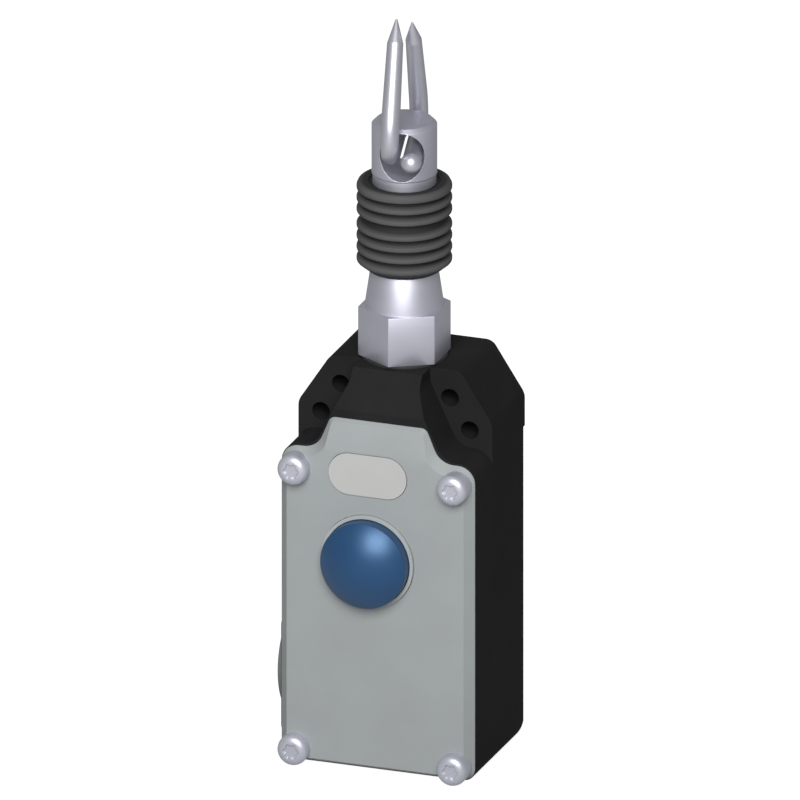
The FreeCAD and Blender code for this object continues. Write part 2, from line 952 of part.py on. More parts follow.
def make_pull_rod():
    """Rod: shoulder above the bush, circlip groove below the spring seat and a thinner tail."""
    shoulder_top = rod_shoulder_bottom + rod_shoulder_height
    rod = turned([
        (0, rod_bottom),
        (tail_radius - 0.5, rod_bottom),
        (tail_radius, rod_bottom + 0.5),
        (tail_radius, rod_step_height),
        (rod_radius, rod_step_height),
        (rod_radius, clip_bottom),
        (clip_groove_radius, clip_bottom),
        (clip_groove_radius, seat_bottom),
        (rod_radius, seat_bottom),
        (rod_radius, rod_shoulder_bottom),
        (rod_shoulder_radius, rod_shoulder_bottom),
        (rod_shoulder_radius, shoulder_top),
        (rod_radius, shoulder_top),
        (rod_radius, head_bottom + head_socket_depth),
        (0, head_bottom + head_socket_depth),
    ])
    return rod


def make_seat_clip():
    """Open circlip that carries the spring seat."""
    ring = tube(clip_radius, clip_groove_radius, clip_bottom, seat_bottom)
    mouth = box(
        Vector(-clip_mouth / 2, -clip_radius - 1, clip_bottom - 1),
        Vector(clip_mouth / 2, 0, seat_bottom + 1),
    )
    return ring.cut(mouth)


def make_cam_sleeve():
    """Sleeve with the straight cone that pushes the contact plungers outwards."""
    cone_rise = (cam_foot_radius - cam_nose_radius) / cam_ratio
    cone_low = rod_step_height + cam_foot_height
    return turned([
        (rod_radius, rod_step_height),
        (cam_foot_radius, rod_step_height),
        (cam_foot_radius, cone_low),
        (cam_nose_radius, cone_low + cone_rise),
        (cam_nose_radius, clip_bottom),
        (rod_radius, clip_bottom),
    ])


def make_rod_nut():
    """Nut on the tail that clamps the cam sleeve."""
    low = nut_top - nut_height
    nut = hexagon(nut_across_flats, low, nut_top)
    washer = z_cylinder(nut_across_flats / 2 + 1.2, nut_top, rod_step_height)
    nut = nut.fuse(washer)
    return nut.cut(z_cylinder(tail_radius + thread_gap, low - 1, rod_step_height + 1))


def ridge_heights():
    """Heights of the bellows' ridges, with the wider band after the fourth."""
    heights = []
    for index in range(bellows_ridges):
        extra = bellows_wide_extra if index >= bellows_wide_after else 0
        heights.append(bellows_first_ridge + index * bellows_pitch + extra)
    return heights


def make_bellows():
    """Rubber bellows: ribbed wall, a lip in the bush's groove and a lip in the head's."""
    half_ridge = bellows_pitch / 2 - 0.2
    inner_ridge = bellows_ridge_radius - bellows_wall
    inner_groove = bellows_groove_radius - bellows_wall
    heights = ridge_heights()
    outer = []
    for height in heights:
        outer.append((bellows_groove_radius, height - half_ridge))
        outer.append((bellows_ridge_radius, height - bellows_ridge_flat))
        outer.append((bellows_ridge_radius, height + bellows_ridge_flat))
        outer.append((bellows_groove_radius, height + half_ridge))
    inner = []
    for height in reversed(heights[1:-1]):
        inner.append((inner_groove, height + half_ridge))
        inner.append((inner_ridge, height))
        inner.append((inner_groove, height - half_ridge))
    low_lip = lip_groove_radius + bellows_lip_gap
    high_lip = head_groove_radius + bellows_lip_gap
    lip_low = cone_top + bellows_lip_gap
    lip_high = head_groove_top - bellows_lip_gap
    foot = [
        (inner_groove, lip_low + bellows_lip_height),
        (low_lip, lip_low + bellows_lip_height),
        (low_lip, lip_low),
        (inner_groove, lip_low),
    ]
    head = [
        (bellows_ridge_radius - 0.5, bellows_top),
        (bellows_mouth_radius, bellows_top),
        (bellows_mouth_radius, lip_high),
        (high_lip, lip_high),
        (high_lip, lip_high - bellows_lip_height),
        (inner_groove, lip_high - bellows_lip_height),
    ]
    return turned(foot + outer[1:-1] + head + inner)


def make_rod_head():
    """Cylinder with the flared cross bore and the groove for the bellows."""
    head = turned([
        (rod_radius, head_bottom),
        (head_step_radius, head_bottom),
        (head_step_radius, head_groove_bottom),
        (head_groove_radius, head_groove_bottom),
        (head_groove_radius, head_groove_top),
        (head_step_radius, head_groove_top),
        (head_step_radius, head_step),
        (head_radius, head_step + 0.2),
        (head_radius, head_top - head_chamfer),
        (head_radius - head_chamfer, head_top),
        (0, head_top),
        (0, head_bottom + head_socket_depth),
        (rod_radius, head_bottom + head_socket_depth),
    ])
    reach = head_radius + 1
    tools = [y_cylinder(bore_radius, 0, bore_height, -reach, reach)]
    flare_start = math.sqrt(head_radius ** 2 - bore_radius ** 2) - 0.2
    for side in (-1, 1):
        start = Vector(0, side * flare_start, bore_height)
        tools.append(Part.makeCone(
            bore_radius, bore_radius + bore_flare, reach - flare_start, start, back * side,
        ))
    return head_frame(head.cut(tools[0].multiFuse(tools[1:])))


def make_front_hook():
    """Hook in the cross bore's directions: foot through the bore, leg up in front, point on top."""
    foot_end = Vector(0, hook_ball_offset, 0)
    bend_start = Vector(0, -hook_leg_offset + hook_bend_radius, 0)
    bend_end = Vector(0, -hook_leg_offset, hook_bend_radius)
    quarter = hook_bend_radius * math.sqrt(0.5)
    bend_mid = Vector(0, bend_start.y - quarter, hook_bend_radius - quarter)
    vertex = Vector(0, -hook_leg_offset, hook_elbow_height - bore_height)
    top = Vector(0, hook_cross, hook_top - bore_height)
    leg_way = (top - vertex).normalize()
    lean = up.getAngle(leg_way)
    reach = hook_elbow_radius * math.tan(lean / 2)
    elbow_start = vertex - up * reach
    elbow_end = vertex + leg_way * reach
    elbow_centre = elbow_start + Vector(0, hook_elbow_radius, 0)
    elbow_mid = elbow_centre + Vector(
        0, -hook_elbow_radius * math.cos(lean / 2), hook_elbow_radius * math.sin(lean / 2),
    )
    path = Part.Wire([
        Part.makeLine(foot_end, bend_start),
        Part.Arc(bend_start, bend_mid, bend_end).toShape(),
        Part.makeLine(bend_end, elbow_start),
        Part.Arc(elbow_start, elbow_mid, elbow_end).toShape(),
    ])
    section = Part.Wire([Part.makeCircle(hook_radius, foot_end, back)])
    bar = path.makePipeShell([section], True, False)
    point_start = top - leg_way * hook_point_length
    leg_length = (point_start - elbow_end).Length
    leg = Part.makeCone(hook_radius, hook_tip_radius, leg_length, elbow_end, leg_way)
    point = Part.makeCone(
        hook_tip_radius, hook_point_radius, hook_point_length, point_start, leg_way,
    )
    ball = Part.makeSphere(hook_ball_radius, foot_end)
    hook = bar.multiFuse([leg, point, ball]).removeSplitter()
    hook.rotate(Vector(0, 0, 0), back, hook_lean)
    hook.translate(Vector(-hook_offset, 0, bore_height))
    return hook


def make_side_plug():
    """Blanking plug of the left entry: round head with a rib, hollow thread, square seal."""
    wall = -housing_half_width
    seal_out = wall - plug_seal_thickness
    head_out = seal_out - plug_head
    inner_end = wall + plug_length
    plug = cylinder(
        plug_head_radius, Vector(head_out, 0, side_entry_height),
        Vector(seal_out, 0, side_entry_height),
    )
    rim = [edge for edge in plug.Edges if edge.Length > 1 and abs(edge.CenterOfMass.x - head_out) < 1e-6]
    plug = plug.makeChamfer(0.5, rim)
    plug = plug.fuse(cylinder(
        plug_thread_radius, Vector(seal_out, 0, side_entry_height),
        Vector(inner_end, 0, side_entry_height),
    ))
    plug = plug.fuse(box(
        Vector(head_out - plug_rib_height, -plug_rib_half, side_entry_height - plug_rib_width / 2),
        Vector(head_out, plug_rib_half, side_entry_height + plug_rib_width / 2),
    ))
    plug = plug.cut(cylinder(
        plug_thread_radius - plug_wall, Vector(seal_out, 0, side_entry_height),
        Vector(inner_end + 1, 0, side_entry_height),
    ))
    half = plug_seal_side / 2
    low = side_entry_height - half
    high = side_entry_height + half
    seal = side_prism(
        [
            (-half, low, plug_seal_radius),
            (half, low, plug_seal_radius),
            (half, high, plug_seal_radius),
            (-half, high, plug_seal_radius),
        ],
        seal_out,
        wall,
    )
    seal = seal.cut(cylinder(
        entry_radius, Vector(seal_out - 1, 0, side_entry_height),
        Vector(wall + 1, 0, side_entry_height),
    ))
    return plug.removeSplitter(), seal


def make_mechanism_frame():
    """Sheet frame on the back wall: ears for the latch pin and a tab for the lower guide."""
    rear = cavity_back
    plate_front = rear - sheet
    plate = front_prism(
        [
            (-frame_half_width, frame_bottom, 0.5),
            (frame_half_width, frame_bottom, 0.5),
            (frame_half_width, frame_top, 2.0),
            (-frame_half_width, frame_top, 2.0),
        ],
        plate_front,
        rear,
    )
    ear_radius = ear_height / 2
    ear_corners = [
        (plate_front, pivot_height - ear_radius, 0),
        (plate_front, pivot_height + ear_radius, 0),
        (-pivot_depth - ear_radius, pivot_height + ear_radius, ear_radius),
        (-pivot_depth - ear_radius, pivot_height - ear_radius, ear_radius),
    ]
    pieces = []
    for side in (-1, 1):
        x_low = min(side * frame_half_width, side * (frame_half_width - ear_thickness))
        pieces.append(side_prism(ear_corners, x_low, x_low + ear_thickness))
    pieces.append(box(
        Vector(-frame_half_width + 2, -tab_reach, frame_bottom),
        Vector(frame_half_width - 2, plate_front, frame_bottom + sheet),
    ))
    frame = plate.multiFuse(pieces)
    tools = [cylinder(
        pin_radius + 0.02, Vector(-housing_half_width, -pivot_depth, pivot_height),
        Vector(housing_half_width, -pivot_depth, pivot_height),
    )]
    tools.append(z_cylinder(guide_radius, frame_bottom - 1, frame_bottom + sheet + 1))
    for side in (-1, 1):
        for height in (frame_screw_low, frame_screw_high):
            tools.append(y_cylinder(
                small_screw_radius + 0.1, side * frame_screw_half, height, 0, rear + 1,
            ))
    return frame.cut(Part.makeCompound(tools)).removeSplitter()


def make_lower_guide():
    """Flanged plastic bush in the frame's tab, round the rod's tail."""
    top = frame_bottom + sheet
    return turned([
        (tail_radius + rod_gap, frame_bottom - 0.6),
        (guide_radius, frame_bottom - 0.6),
        (guide_radius, top),
        (guide_radius + guide_flange, top),
        (guide_radius + guide_flange, top + 1.0),
        (guide_radius - 1.5, frame_bottom - 0.6 + guide_height),
        (tail_radius + rod_gap, frame_bottom - 0.6 + guide_height),
    ])


def make_latch_lever():
    """Lever that the reset stem pushes: a flat arm with a hub and a tooth on top."""
    arm_back = -pivot_depth + lever_thickness / 2
    arm_front = -pivot_depth - lever_thickness / 2
    x_low = -lever_half_width
    arm = side_prism(
        [
            (arm_front, lever_bottom, 0.8),
            (arm_back, lever_bottom, 0.8),
            (arm_back, lever_top, 0.8),
            (arm_front, lever_top, 0.8),
        ],
        x_low,
        lever_half_width,
    )
    tooth = side_prism(
        [
            (arm_back - 0.5, lever_top - tooth_height - 2.0, 0),
            (-tooth_reach, lever_top - tooth_height, 0),
            (-tooth_reach, lever_top - 0.6, 0),
            (arm_back - 0.5, lever_top, 0),
        ],
        -tooth_half_width,
        tooth_half_width,
    )
    start = Vector(x_low, -pivot_depth, pivot_height)
    end = Vector(lever_half_width, -pivot_depth, pivot_height)
    hub = cylinder(lever_hub_radius, start, end)
    lever = arm.multiFuse([tooth, hub])
    hole = cylinder(pin_radius + pin_gap, start - right, end + right)
    return lever.cut(hole).removeSplitter()


def make_latch_pin():
    """Pin through both ears, with a head at its left end."""
    left = -frame_half_width
    pin = cylinder(
        pin_radius, Vector(left, -pivot_depth, pivot_height),
        Vector(frame_half_width, -pivot_depth, pivot_height),
    )
    head = cylinder(
        pin_radius + 0.8, Vector(left - 0.2, -pivot_depth, pivot_height),
        Vector(left, -pivot_depth, pivot_height),
    )
    return pin.fuse(head).removeSplitter()


def make_latch_spring():
    """Torsion spring on the pin, left of the lever."""
    gap = 0.4
    length = frame_half_width - ear_thickness - lever_half_width - 2 * gap
    spring = coil(latch_coil_wire, latch_coil_radius, length, latch_coil_turns)
    start = Vector(-lever_half_width - gap, -pivot_depth, pivot_height)
    return placed(spring, start, right * -1)


def make_indicator_flag():
    """Flag behind the window, on an arm that rises from the spring seat."""
    seat_front = -math.sqrt(seat_radius ** 2 - flag_arm_right ** 2)
    arm_front = -seat_radius - 0.9
    arm_back = seat_front + 1.0
    foot = box(
        Vector(flag_arm_left, arm_front, spring_bottom - 1.0),
        Vector(flag_arm_right, arm_back, spring_bottom),
    )
    foot = foot.cut(z_cylinder(seat_radius, spring_bottom - 2, spring_bottom + 1))
    riser = box(
        Vector(flag_arm_left, arm_front, spring_bottom - 1.0),
        Vector(flag_arm_right, arm_front + flag_thickness, flag_bottom + 1.0),
    )
    bridge = box(
        Vector(flag_arm_left, -flag_depth, flag_bottom),
        Vector(flag_arm_right, arm_front + flag_thickness, flag_bottom + 1.0),
    )
    plate = front_prism(
        [
            (-flag_half_width, flag_bottom, 1.0),
            (flag_half_width, flag_bottom, 1.0),
            (flag_half_width, flag_top, 1.0),
            (-flag_half_width, flag_top, 1.0),
        ],
        -flag_depth,
        -flag_depth + flag_thickness,
    )
    return foot.multiFuse([riser, bridge, plate]).removeSplitter()


def make_contact_side():
    """Right-hand contact block with its plunger, bridge, spring and fixed contacts."""
    inner = block_inner + block_wall
    outer = block_outer - 1.2
    block = front_prism(
        [
            (block_inner, block_bottom, 0.8),
            (block_outer, block_bottom, 0.8),
            (block_outer, block_top, 0.8),
            (block_inner, block_top, 0.8),
        ],
        -block_front,
        block_rear,
    )
    ear = front_prism(
        [
            (block_inner + 0.8, block_top - 2, 0),
            (block_outer, block_top - 2, 0),
            (block_outer, block_ear_top, 1.5),
            (block_inner + 0.8, block_ear_top, 1.5),
        ],
        block_rear - block_rear_wall,
        block_rear,
    )
    room = box(
        Vector(inner, -block_front + block_front_wall, block_bottom + block_skin),
        Vector(outer, block_rear - block_rear_wall, block_top - block_skin),
    )
    window = box(
        Vector(inner + 1, -block_front - 1, plunger_height - 3.2),
        Vector(outer, 0, plunger_height + 3.2),
    )
    tools = [room, window]
    tools.append(cylinder(
        plunger_radius + plunger_gap, Vector(block_inner - 1, 0, plunger_height),
        Vector(inner + 1, 0, plunger_height),
    ))
    tools.append(y_cylinder(
        small_screw_radius + 0.1, block_screw_x, block_screw_height, 0, block_rear + 1,
    ))

    rivet_in = inner + contact_thickness + contact_gap
    bridge_in = rivet_in + rivet_height
    bridge_out = bridge_in + bridge_thickness
    contacts = []
    terminal_screws = []
    screw = pan_screw(small_screw_radius, small_head_radius, small_head_height, 2.2)
    for side in (-1, 1):
        height = plunger_height + side * rivet_offset
        blade = box(
            Vector(inner, -block_front - terminal_thickness, height - contact_half_height),
            Vector(inner + contact_thickness, bridge_half_width, height + contact_half_height),
        )
        foot = box(
            Vector(inner, -block_front - terminal_thickness, height - contact_half_height),
            Vector(outer, -block_front, height + contact_half_height),
        )
        terminal_x = (inner + outer) / 2 + 0.4
        hole = y_cylinder(
            small_screw_radius + thread_gap, terminal_x, height, -block_front - 2,
            -block_front + block_front_wall - 0.1,
        )
        contacts.append(blade.fuse(foot).cut(hole).removeSplitter())
        tools.append(hole)
        tools.append(box(
            Vector(inner, -block_front - 1, height - contact_half_height - 0.1),
            Vector(
                inner + contact_thickness + 0.1, -block_front + block_front_wall + 1,
                height + contact_half_height + 0.1,
            ),
        ))
        terminal_screws.append(placed(
            screw, Vector(terminal_x, -block_front - terminal_thickness, height), front,
        ))
    block = block.fuse(ear).cut(Part.makeCompound(tools)).removeSplitter()

    cam_high = rod_step_height + cam_foot_height + (cam_foot_radius - cam_nose_radius) / cam_ratio
    cam_radius = cam_nose_radius + cam_ratio * (cam_high - plunger_height)
    slant = math.cos(math.atan(cam_ratio))
    tip_centre = cam_radius + (plunger_radius + contact_gap) / slant
    flange_in = inner + plunger_stroke_gap
    flange_out = bridge_in
    plunger = Part.makeSphere(plunger_radius, Vector(tip_centre, 0, plunger_height))
    plunger = plunger.multiFuse([
        cylinder(
            plunger_radius, Vector(tip_centre, 0, plunger_height),
            Vector(flange_in, 0, plunger_height),
        ),
        cylinder(
            plunger_flange_radius, Vector(flange_in, 0, plunger_height),
            Vector(flange_out, 0, plunger_height),
        ),
        cylinder(
            plunger_tail_radius, Vector(flange_out, 0, plunger_height),
            Vector(bridge_out + 1.4, 0, plunger_height),
        ),
    ]).removeSplitter()
    bridge = box(
        Vector(bridge_in, -bridge_half_width, plunger_height - bridge_half_height),
        Vector(bridge_out, bridge_half_width, plunger_height + bridge_half_height),
    )
    bridge = bridge.cut(cylinder(
        plunger_tail_radius, Vector(bridge_in - 1, 0, plunger_height),
        Vector(bridge_out + 1, 0, plunger_height),
    ))
    rivets = []
    for side in (-1, 1):
        height = plunger_height + side * rivet_offset
        rivets.append(cylinder(
            rivet_radius, Vector(rivet_in, 0, height), Vector(bridge_in, 0, height),
        ))
    bridge = bridge.multiFuse(rivets).removeSplitter()
    spring = coil(plunger_coil_wire, plunger_coil_radius, outer - bridge_out, plunger_coil_turns)
    spring = placed(spring, Vector(bridge_out, 0, plunger_height), right)
    block_screw = pan_screw(small_screw_radius, small_head_radius, small_head_height, 7.0)
    block_screw = placed(
        block_screw, Vector(block_screw_x, block_rear - block_rear_wall, block_screw_height), front,
    )
    return block, plunger, bridge, spring, contacts, terminal_screws, block_screw


def flipped(shape):
    """Mirror image at the left side of the rod."""
    return shape.mirror(Vector(0, 0, 0), right)


def make_earth_connection():
    """Square clamp and its screw on the earth boss."""
    face = cavity_back - earth_boss
    half = earth_clamp_side / 2
    clamp = front_prism(
        [
            (earth_x - half, earth_height - half, 0.8),
            (earth_x + half, earth_height - half, 0.8),
            (earth_x + half, earth_height + half, 0.8),
            (earth_x - half, earth_height + half, 0.8),
        ],
        face - earth_clamp,
        face,
    )
    clamp = clamp.cut(y_cylinder(earth_screw_radius + 0.2, earth_x, earth_height, 0, face + 1))
    screw = pan_screw(earth_screw_radius, earth_head_radius, earth_head, earth_boss + 3.0)
    screw = placed(screw, Vector(earth_x, face - earth_clamp, earth_height), front)
    return clamp, screw


def main():
    """Builds every piece and writes it to its own file."""
    os.makedirs("parts", exist_ok=True)

    save("housing_body", make_housing_body())
    save("front_cover", make_front_cover())
    save("cover_gasket", gasket_ring(-joint_depth - gasket_thickness, -joint_depth))
    save("indicator_window", make_window())
    cover_screw = make_cover_screw()
    screws = []
    for x, z in cover_screw_places():
        screws.append(placed(cover_screw, Vector(x, -screw_seat_depth, z), front))
    save("cover_screws", *screws)

    button, stem, collar, seal, reset_spring = make_reset_group()
    save("reset_button", button)
    save("reset_stem", stem)
    save("reset_collar", collar)
    save("reset_seal", seal)
    save("reset_spring", reset_spring)
    collar_plate, collar_screws = make_collar_plate()
    save("collar_plate", collar_plate)
    save("collar_screws", *collar_screws)

    save("guide_bush", make_guide_bush())
    save("bush_washer", make_bush_washer())
    save("bush_sleeve", tube(bush_bore_radius, sleeve_inner, sleeve_bottom, sleeve_top))
    save("rod_seal", make_rod_seal())
    save("bellows", make_bellows())

    save("pull_rod", make_pull_rod())
    save("rod_head", make_rod_head())
    hook = make_front_hook()
    save("front_hook", head_frame(hook))
    rear_hook = hook.copy()
    rear_hook.rotate(Vector(0, 0, 0), up, 180)
    save("rear_hook", head_frame(rear_hook))
    main_spring = coil(
        main_coil_wire, main_coil_radius, spring_top - spring_bottom, main_coil_turns,
    )
    save("main_spring", placed(main_spring, Vector(0, 0, spring_bottom), up))
    washer_inner = rod_radius + 0.4
    save("spring_washer", tube(
        spring_washer_radius, washer_inner, spring_top, bush_shank_bottom,
    ))
    save("spring_seat", tube(seat_radius, rod_radius, seat_bottom, spring_bottom))
    save("seat_clip", make_seat_clip())
    save("cam_sleeve", make_cam_sleeve())
    save("rod_nut", make_rod_nut())
    save("indicator_flag", make_indicator_flag())

    save("mechanism_frame", make_mechanism_frame())
    frame_screw = pan_screw(small_screw_radius, small_head_radius, small_head_height, sheet + 2.8)
    frame_screws = []
    for side in (-1, 1):
        for height in (frame_screw_low, frame_screw_high):
            place = Vector(side * frame_screw_half, cavity_back - sheet, height)
            frame_screws.append(placed(frame_screw, place, front))
    save("frame_screws", *frame_screws)
    save("lower_guide", make_lower_guide())
    save("latch_lever", make_latch_lever())
    save("latch_pin", make_latch_pin())
    save("latch_spring", make_latch_spring())

    block, plunger, bridge, spring, contacts, terminal_screws, block_screw = make_contact_side()
    for name, shapes in (
        ("contact_block", [block]),
        ("contact_plunger", [plunger]),
        ("contact_bridge", [bridge]),
        ("plunger_spring", [spring]),
        ("fixed_contacts", contacts),
    ):
        save("right_" + name, *shapes)
        save("left_" + name, *[flipped(shape) for shape in shapes])
    save("terminal_screws", *terminal_screws, *[flipped(shape) for shape in terminal_screws])
    save("block_screws", block_screw, flipped(block_screw))
    clamp, earth_screw = make_earth_connection()
    save("earth_clamp", clamp)
    save("earth_screw", earth_screw)

    plug, plug_seal = make_side_plug()
    save("side_entry_plug", plug)
    save("plug_seal", plug_seal)


main()
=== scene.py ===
"""Rope pull switch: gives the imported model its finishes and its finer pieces, and lights it."""

from __future__ import annotations

import logging
import math
from dataclasses import dataclass, field
from enum import Enum

import bmesh
import bpy
from mathutils import Matrix, Vector

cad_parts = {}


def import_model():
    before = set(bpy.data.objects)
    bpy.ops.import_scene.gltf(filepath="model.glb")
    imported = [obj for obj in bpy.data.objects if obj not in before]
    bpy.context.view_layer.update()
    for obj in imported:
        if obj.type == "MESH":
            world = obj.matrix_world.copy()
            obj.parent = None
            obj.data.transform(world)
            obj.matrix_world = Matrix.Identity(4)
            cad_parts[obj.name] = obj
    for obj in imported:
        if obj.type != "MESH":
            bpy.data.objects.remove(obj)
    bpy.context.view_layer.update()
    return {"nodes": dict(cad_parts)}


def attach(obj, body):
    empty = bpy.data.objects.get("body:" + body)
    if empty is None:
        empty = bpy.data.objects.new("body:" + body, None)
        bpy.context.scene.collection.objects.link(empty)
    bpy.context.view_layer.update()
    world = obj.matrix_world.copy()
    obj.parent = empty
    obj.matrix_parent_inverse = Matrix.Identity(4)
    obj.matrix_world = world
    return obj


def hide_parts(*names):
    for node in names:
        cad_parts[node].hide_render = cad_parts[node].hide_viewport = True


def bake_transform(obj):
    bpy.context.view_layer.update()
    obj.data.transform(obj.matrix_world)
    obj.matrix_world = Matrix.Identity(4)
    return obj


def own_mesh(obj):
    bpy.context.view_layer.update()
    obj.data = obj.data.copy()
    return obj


log = logging.getLogger("rope_pull_switch")

MM = 0.001
# Two vertices nearer than this are one
WELD = 1e-6
# A vertex nearer than this lies on the plane that cuts
ON_PLANE = 1e-7

WHITE = (1.0, 1.0, 1.0, 1.0)


class Axis(Enum):
    """Axis that a pattern or a spring runs along."""

    X = 0
    Y = 1
    Z = 2

    def along(self, length: float) -> list[float]:
        """Steps a length along the axis.

        Args:
            length: Length with its sign.

        Returns:
            The step's three parts.
        """
        step = [0.0, 0.0, 0.0]
        step[self.value] = length
        return step


def linear(code: str) -> tuple[float, float, float, float]:
    """Turns a display colour into the shader's linear one.

    Args:
        code: Colour as six hexadecimal digits after a hash.

    Returns:
        Linear red, green, blue and an alpha of one.
    """
    channels = []
    for start in (1, 3, 5):
        value = int(code[start:start + 2], 16) / 255
        channels.append(value / 12.92 if value <= 0.04045 else ((value + 0.055) / 1.055) ** 2.4)
    return channels[0], channels[1], channels[2], 1.0


class NodeSheet:
    """Small helper that places and joins the nodes of one node tree."""

    def __init__(self, tree: bpy.types.NodeTree) -> None:
        """Keeps the tree.

        Args:
            tree: Node tree of a material, a group or the world.
        """
        self.tree = tree
        self.column = 0

    def add(self, kind: str, **settings: object) -> bpy.types.Node:
        """Adds a node and sets its properties.

        Args:
            kind: Node type, as Blender names it.
            settings: Property names and values.

        Returns:
            The new node.
        """
        node = self.tree.nodes.new(kind)
        node.location = (self.column * 200, 0)
        self.column += 1
        for name, value in settings.items():
            setattr(node, name, value)
        return node

    def group(self, effect: bpy.types.NodeTree, **values: float) -> bpy.types.Node:
        """Places a shared effect with its own values.

        Args:
            effect: Shared node group.
            values: Input names, with underscores for spaces, and their values.

        Returns:
            The group's node.
        """
        node = self.add("ShaderNodeGroup", node_tree=effect)
        for name, value in values.items():
            node.inputs[name.replace("_", " ")].default_value = value
        return node

    def join(self, source: bpy.types.NodeSocket, target: bpy.types.NodeSocket) -> None:
        """Links an output to an input."""
        self.tree.links.new(source, target)

    def feed(self, target: bpy.types.NodeSocket,
             value: bpy.types.NodeSocket | float | tuple[float, ...]) -> None:
        """Gives an input its value, by a link or as a constant.

        Args:
            target: Input socket.
            value: Output socket, number or linear colour.
        """
        if isinstance(value, bpy.types.NodeSocket):
            self.join(value, target)
        else:
            target.default_value = value

    def math(self, operation: str, first: bpy.types.NodeSocket | float,
             second: bpy.types.NodeSocket | float = 0.0) -> bpy.types.NodeSocket:
        """Adds a math node.

        Args:
            operation: Name of the operation.
            first: Socket or number.
            second: Socket or number.

        Returns:
            The node's result.
        """
        node = self.add("ShaderNodeMath", operation=operation)
        self.feed(node.inputs[0], first)
        self.feed(node.inputs[1], second)
        return node.outputs[0]

    def noise(self, place: bpy.types.NodeSocket, scale: bpy.types.NodeSocket, detail: float,
              roughness: float) -> bpy.types.NodeSocket:
        """Adds a noise texture.

        Args:
            place: Coordinates in metres.
            scale: Waves per metre.
            detail: Octaves.
            roughness: Share of each finer octave.

        Returns:
            The noise value, from 0 to 1.
        """
        node = self.add("ShaderNodeTexNoise")
        node.inputs["Detail"].default_value = detail
        node.inputs["Roughness"].default_value = roughness
        self.join(place, node.inputs["Vector"])
        self.join(scale, node.inputs["Scale"])
        return node.outputs["Fac"]

    def ramp(self, value: bpy.types.NodeSocket, given: tuple[float, float],
             wanted: tuple[float, float] = (0.0, 1.0)) -> bpy.types.NodeSocket:
        """Maps a value from one range to another and clamps it there.

        Args:
            value: Value to map.
            given: Ends of its range.
            wanted: Ends of the new range.

        Returns:
            The mapped value.
        """
        node = self.add("ShaderNodeMapRange", clamp=True)
        for name, number in zip(("From Min", "From Max", "To Min", "To Max"), given + wanted):
            node.inputs[name].default_value = number
        self.join(value, node.inputs["Value"])
        return node.outputs["Result"]

    def mix(self, share: bpy.types.NodeSocket, first: bpy.types.NodeSocket | tuple[float, ...],
            second: bpy.types.NodeSocket | tuple[float, ...]) -> bpy.types.NodeSocket:
        """Mixes two colours.

        Args:
            share: Share of the second colour.
            first: Socket or linear colour.
            second: Socket or linear colour.

        Returns:
            The mixed colour.
        """
        node = self.add("ShaderNodeMix", data_type="RGBA", clamp_factor=True)
        self.join(share, node.inputs["Factor"])
        for name, colour in (("A", first), ("B", second)):
            self.feed(next(s for s in node.inputs if s.name == name and s.type == "RGBA"), colour)
        return next(s for s in node.outputs if s.type == "RGBA")


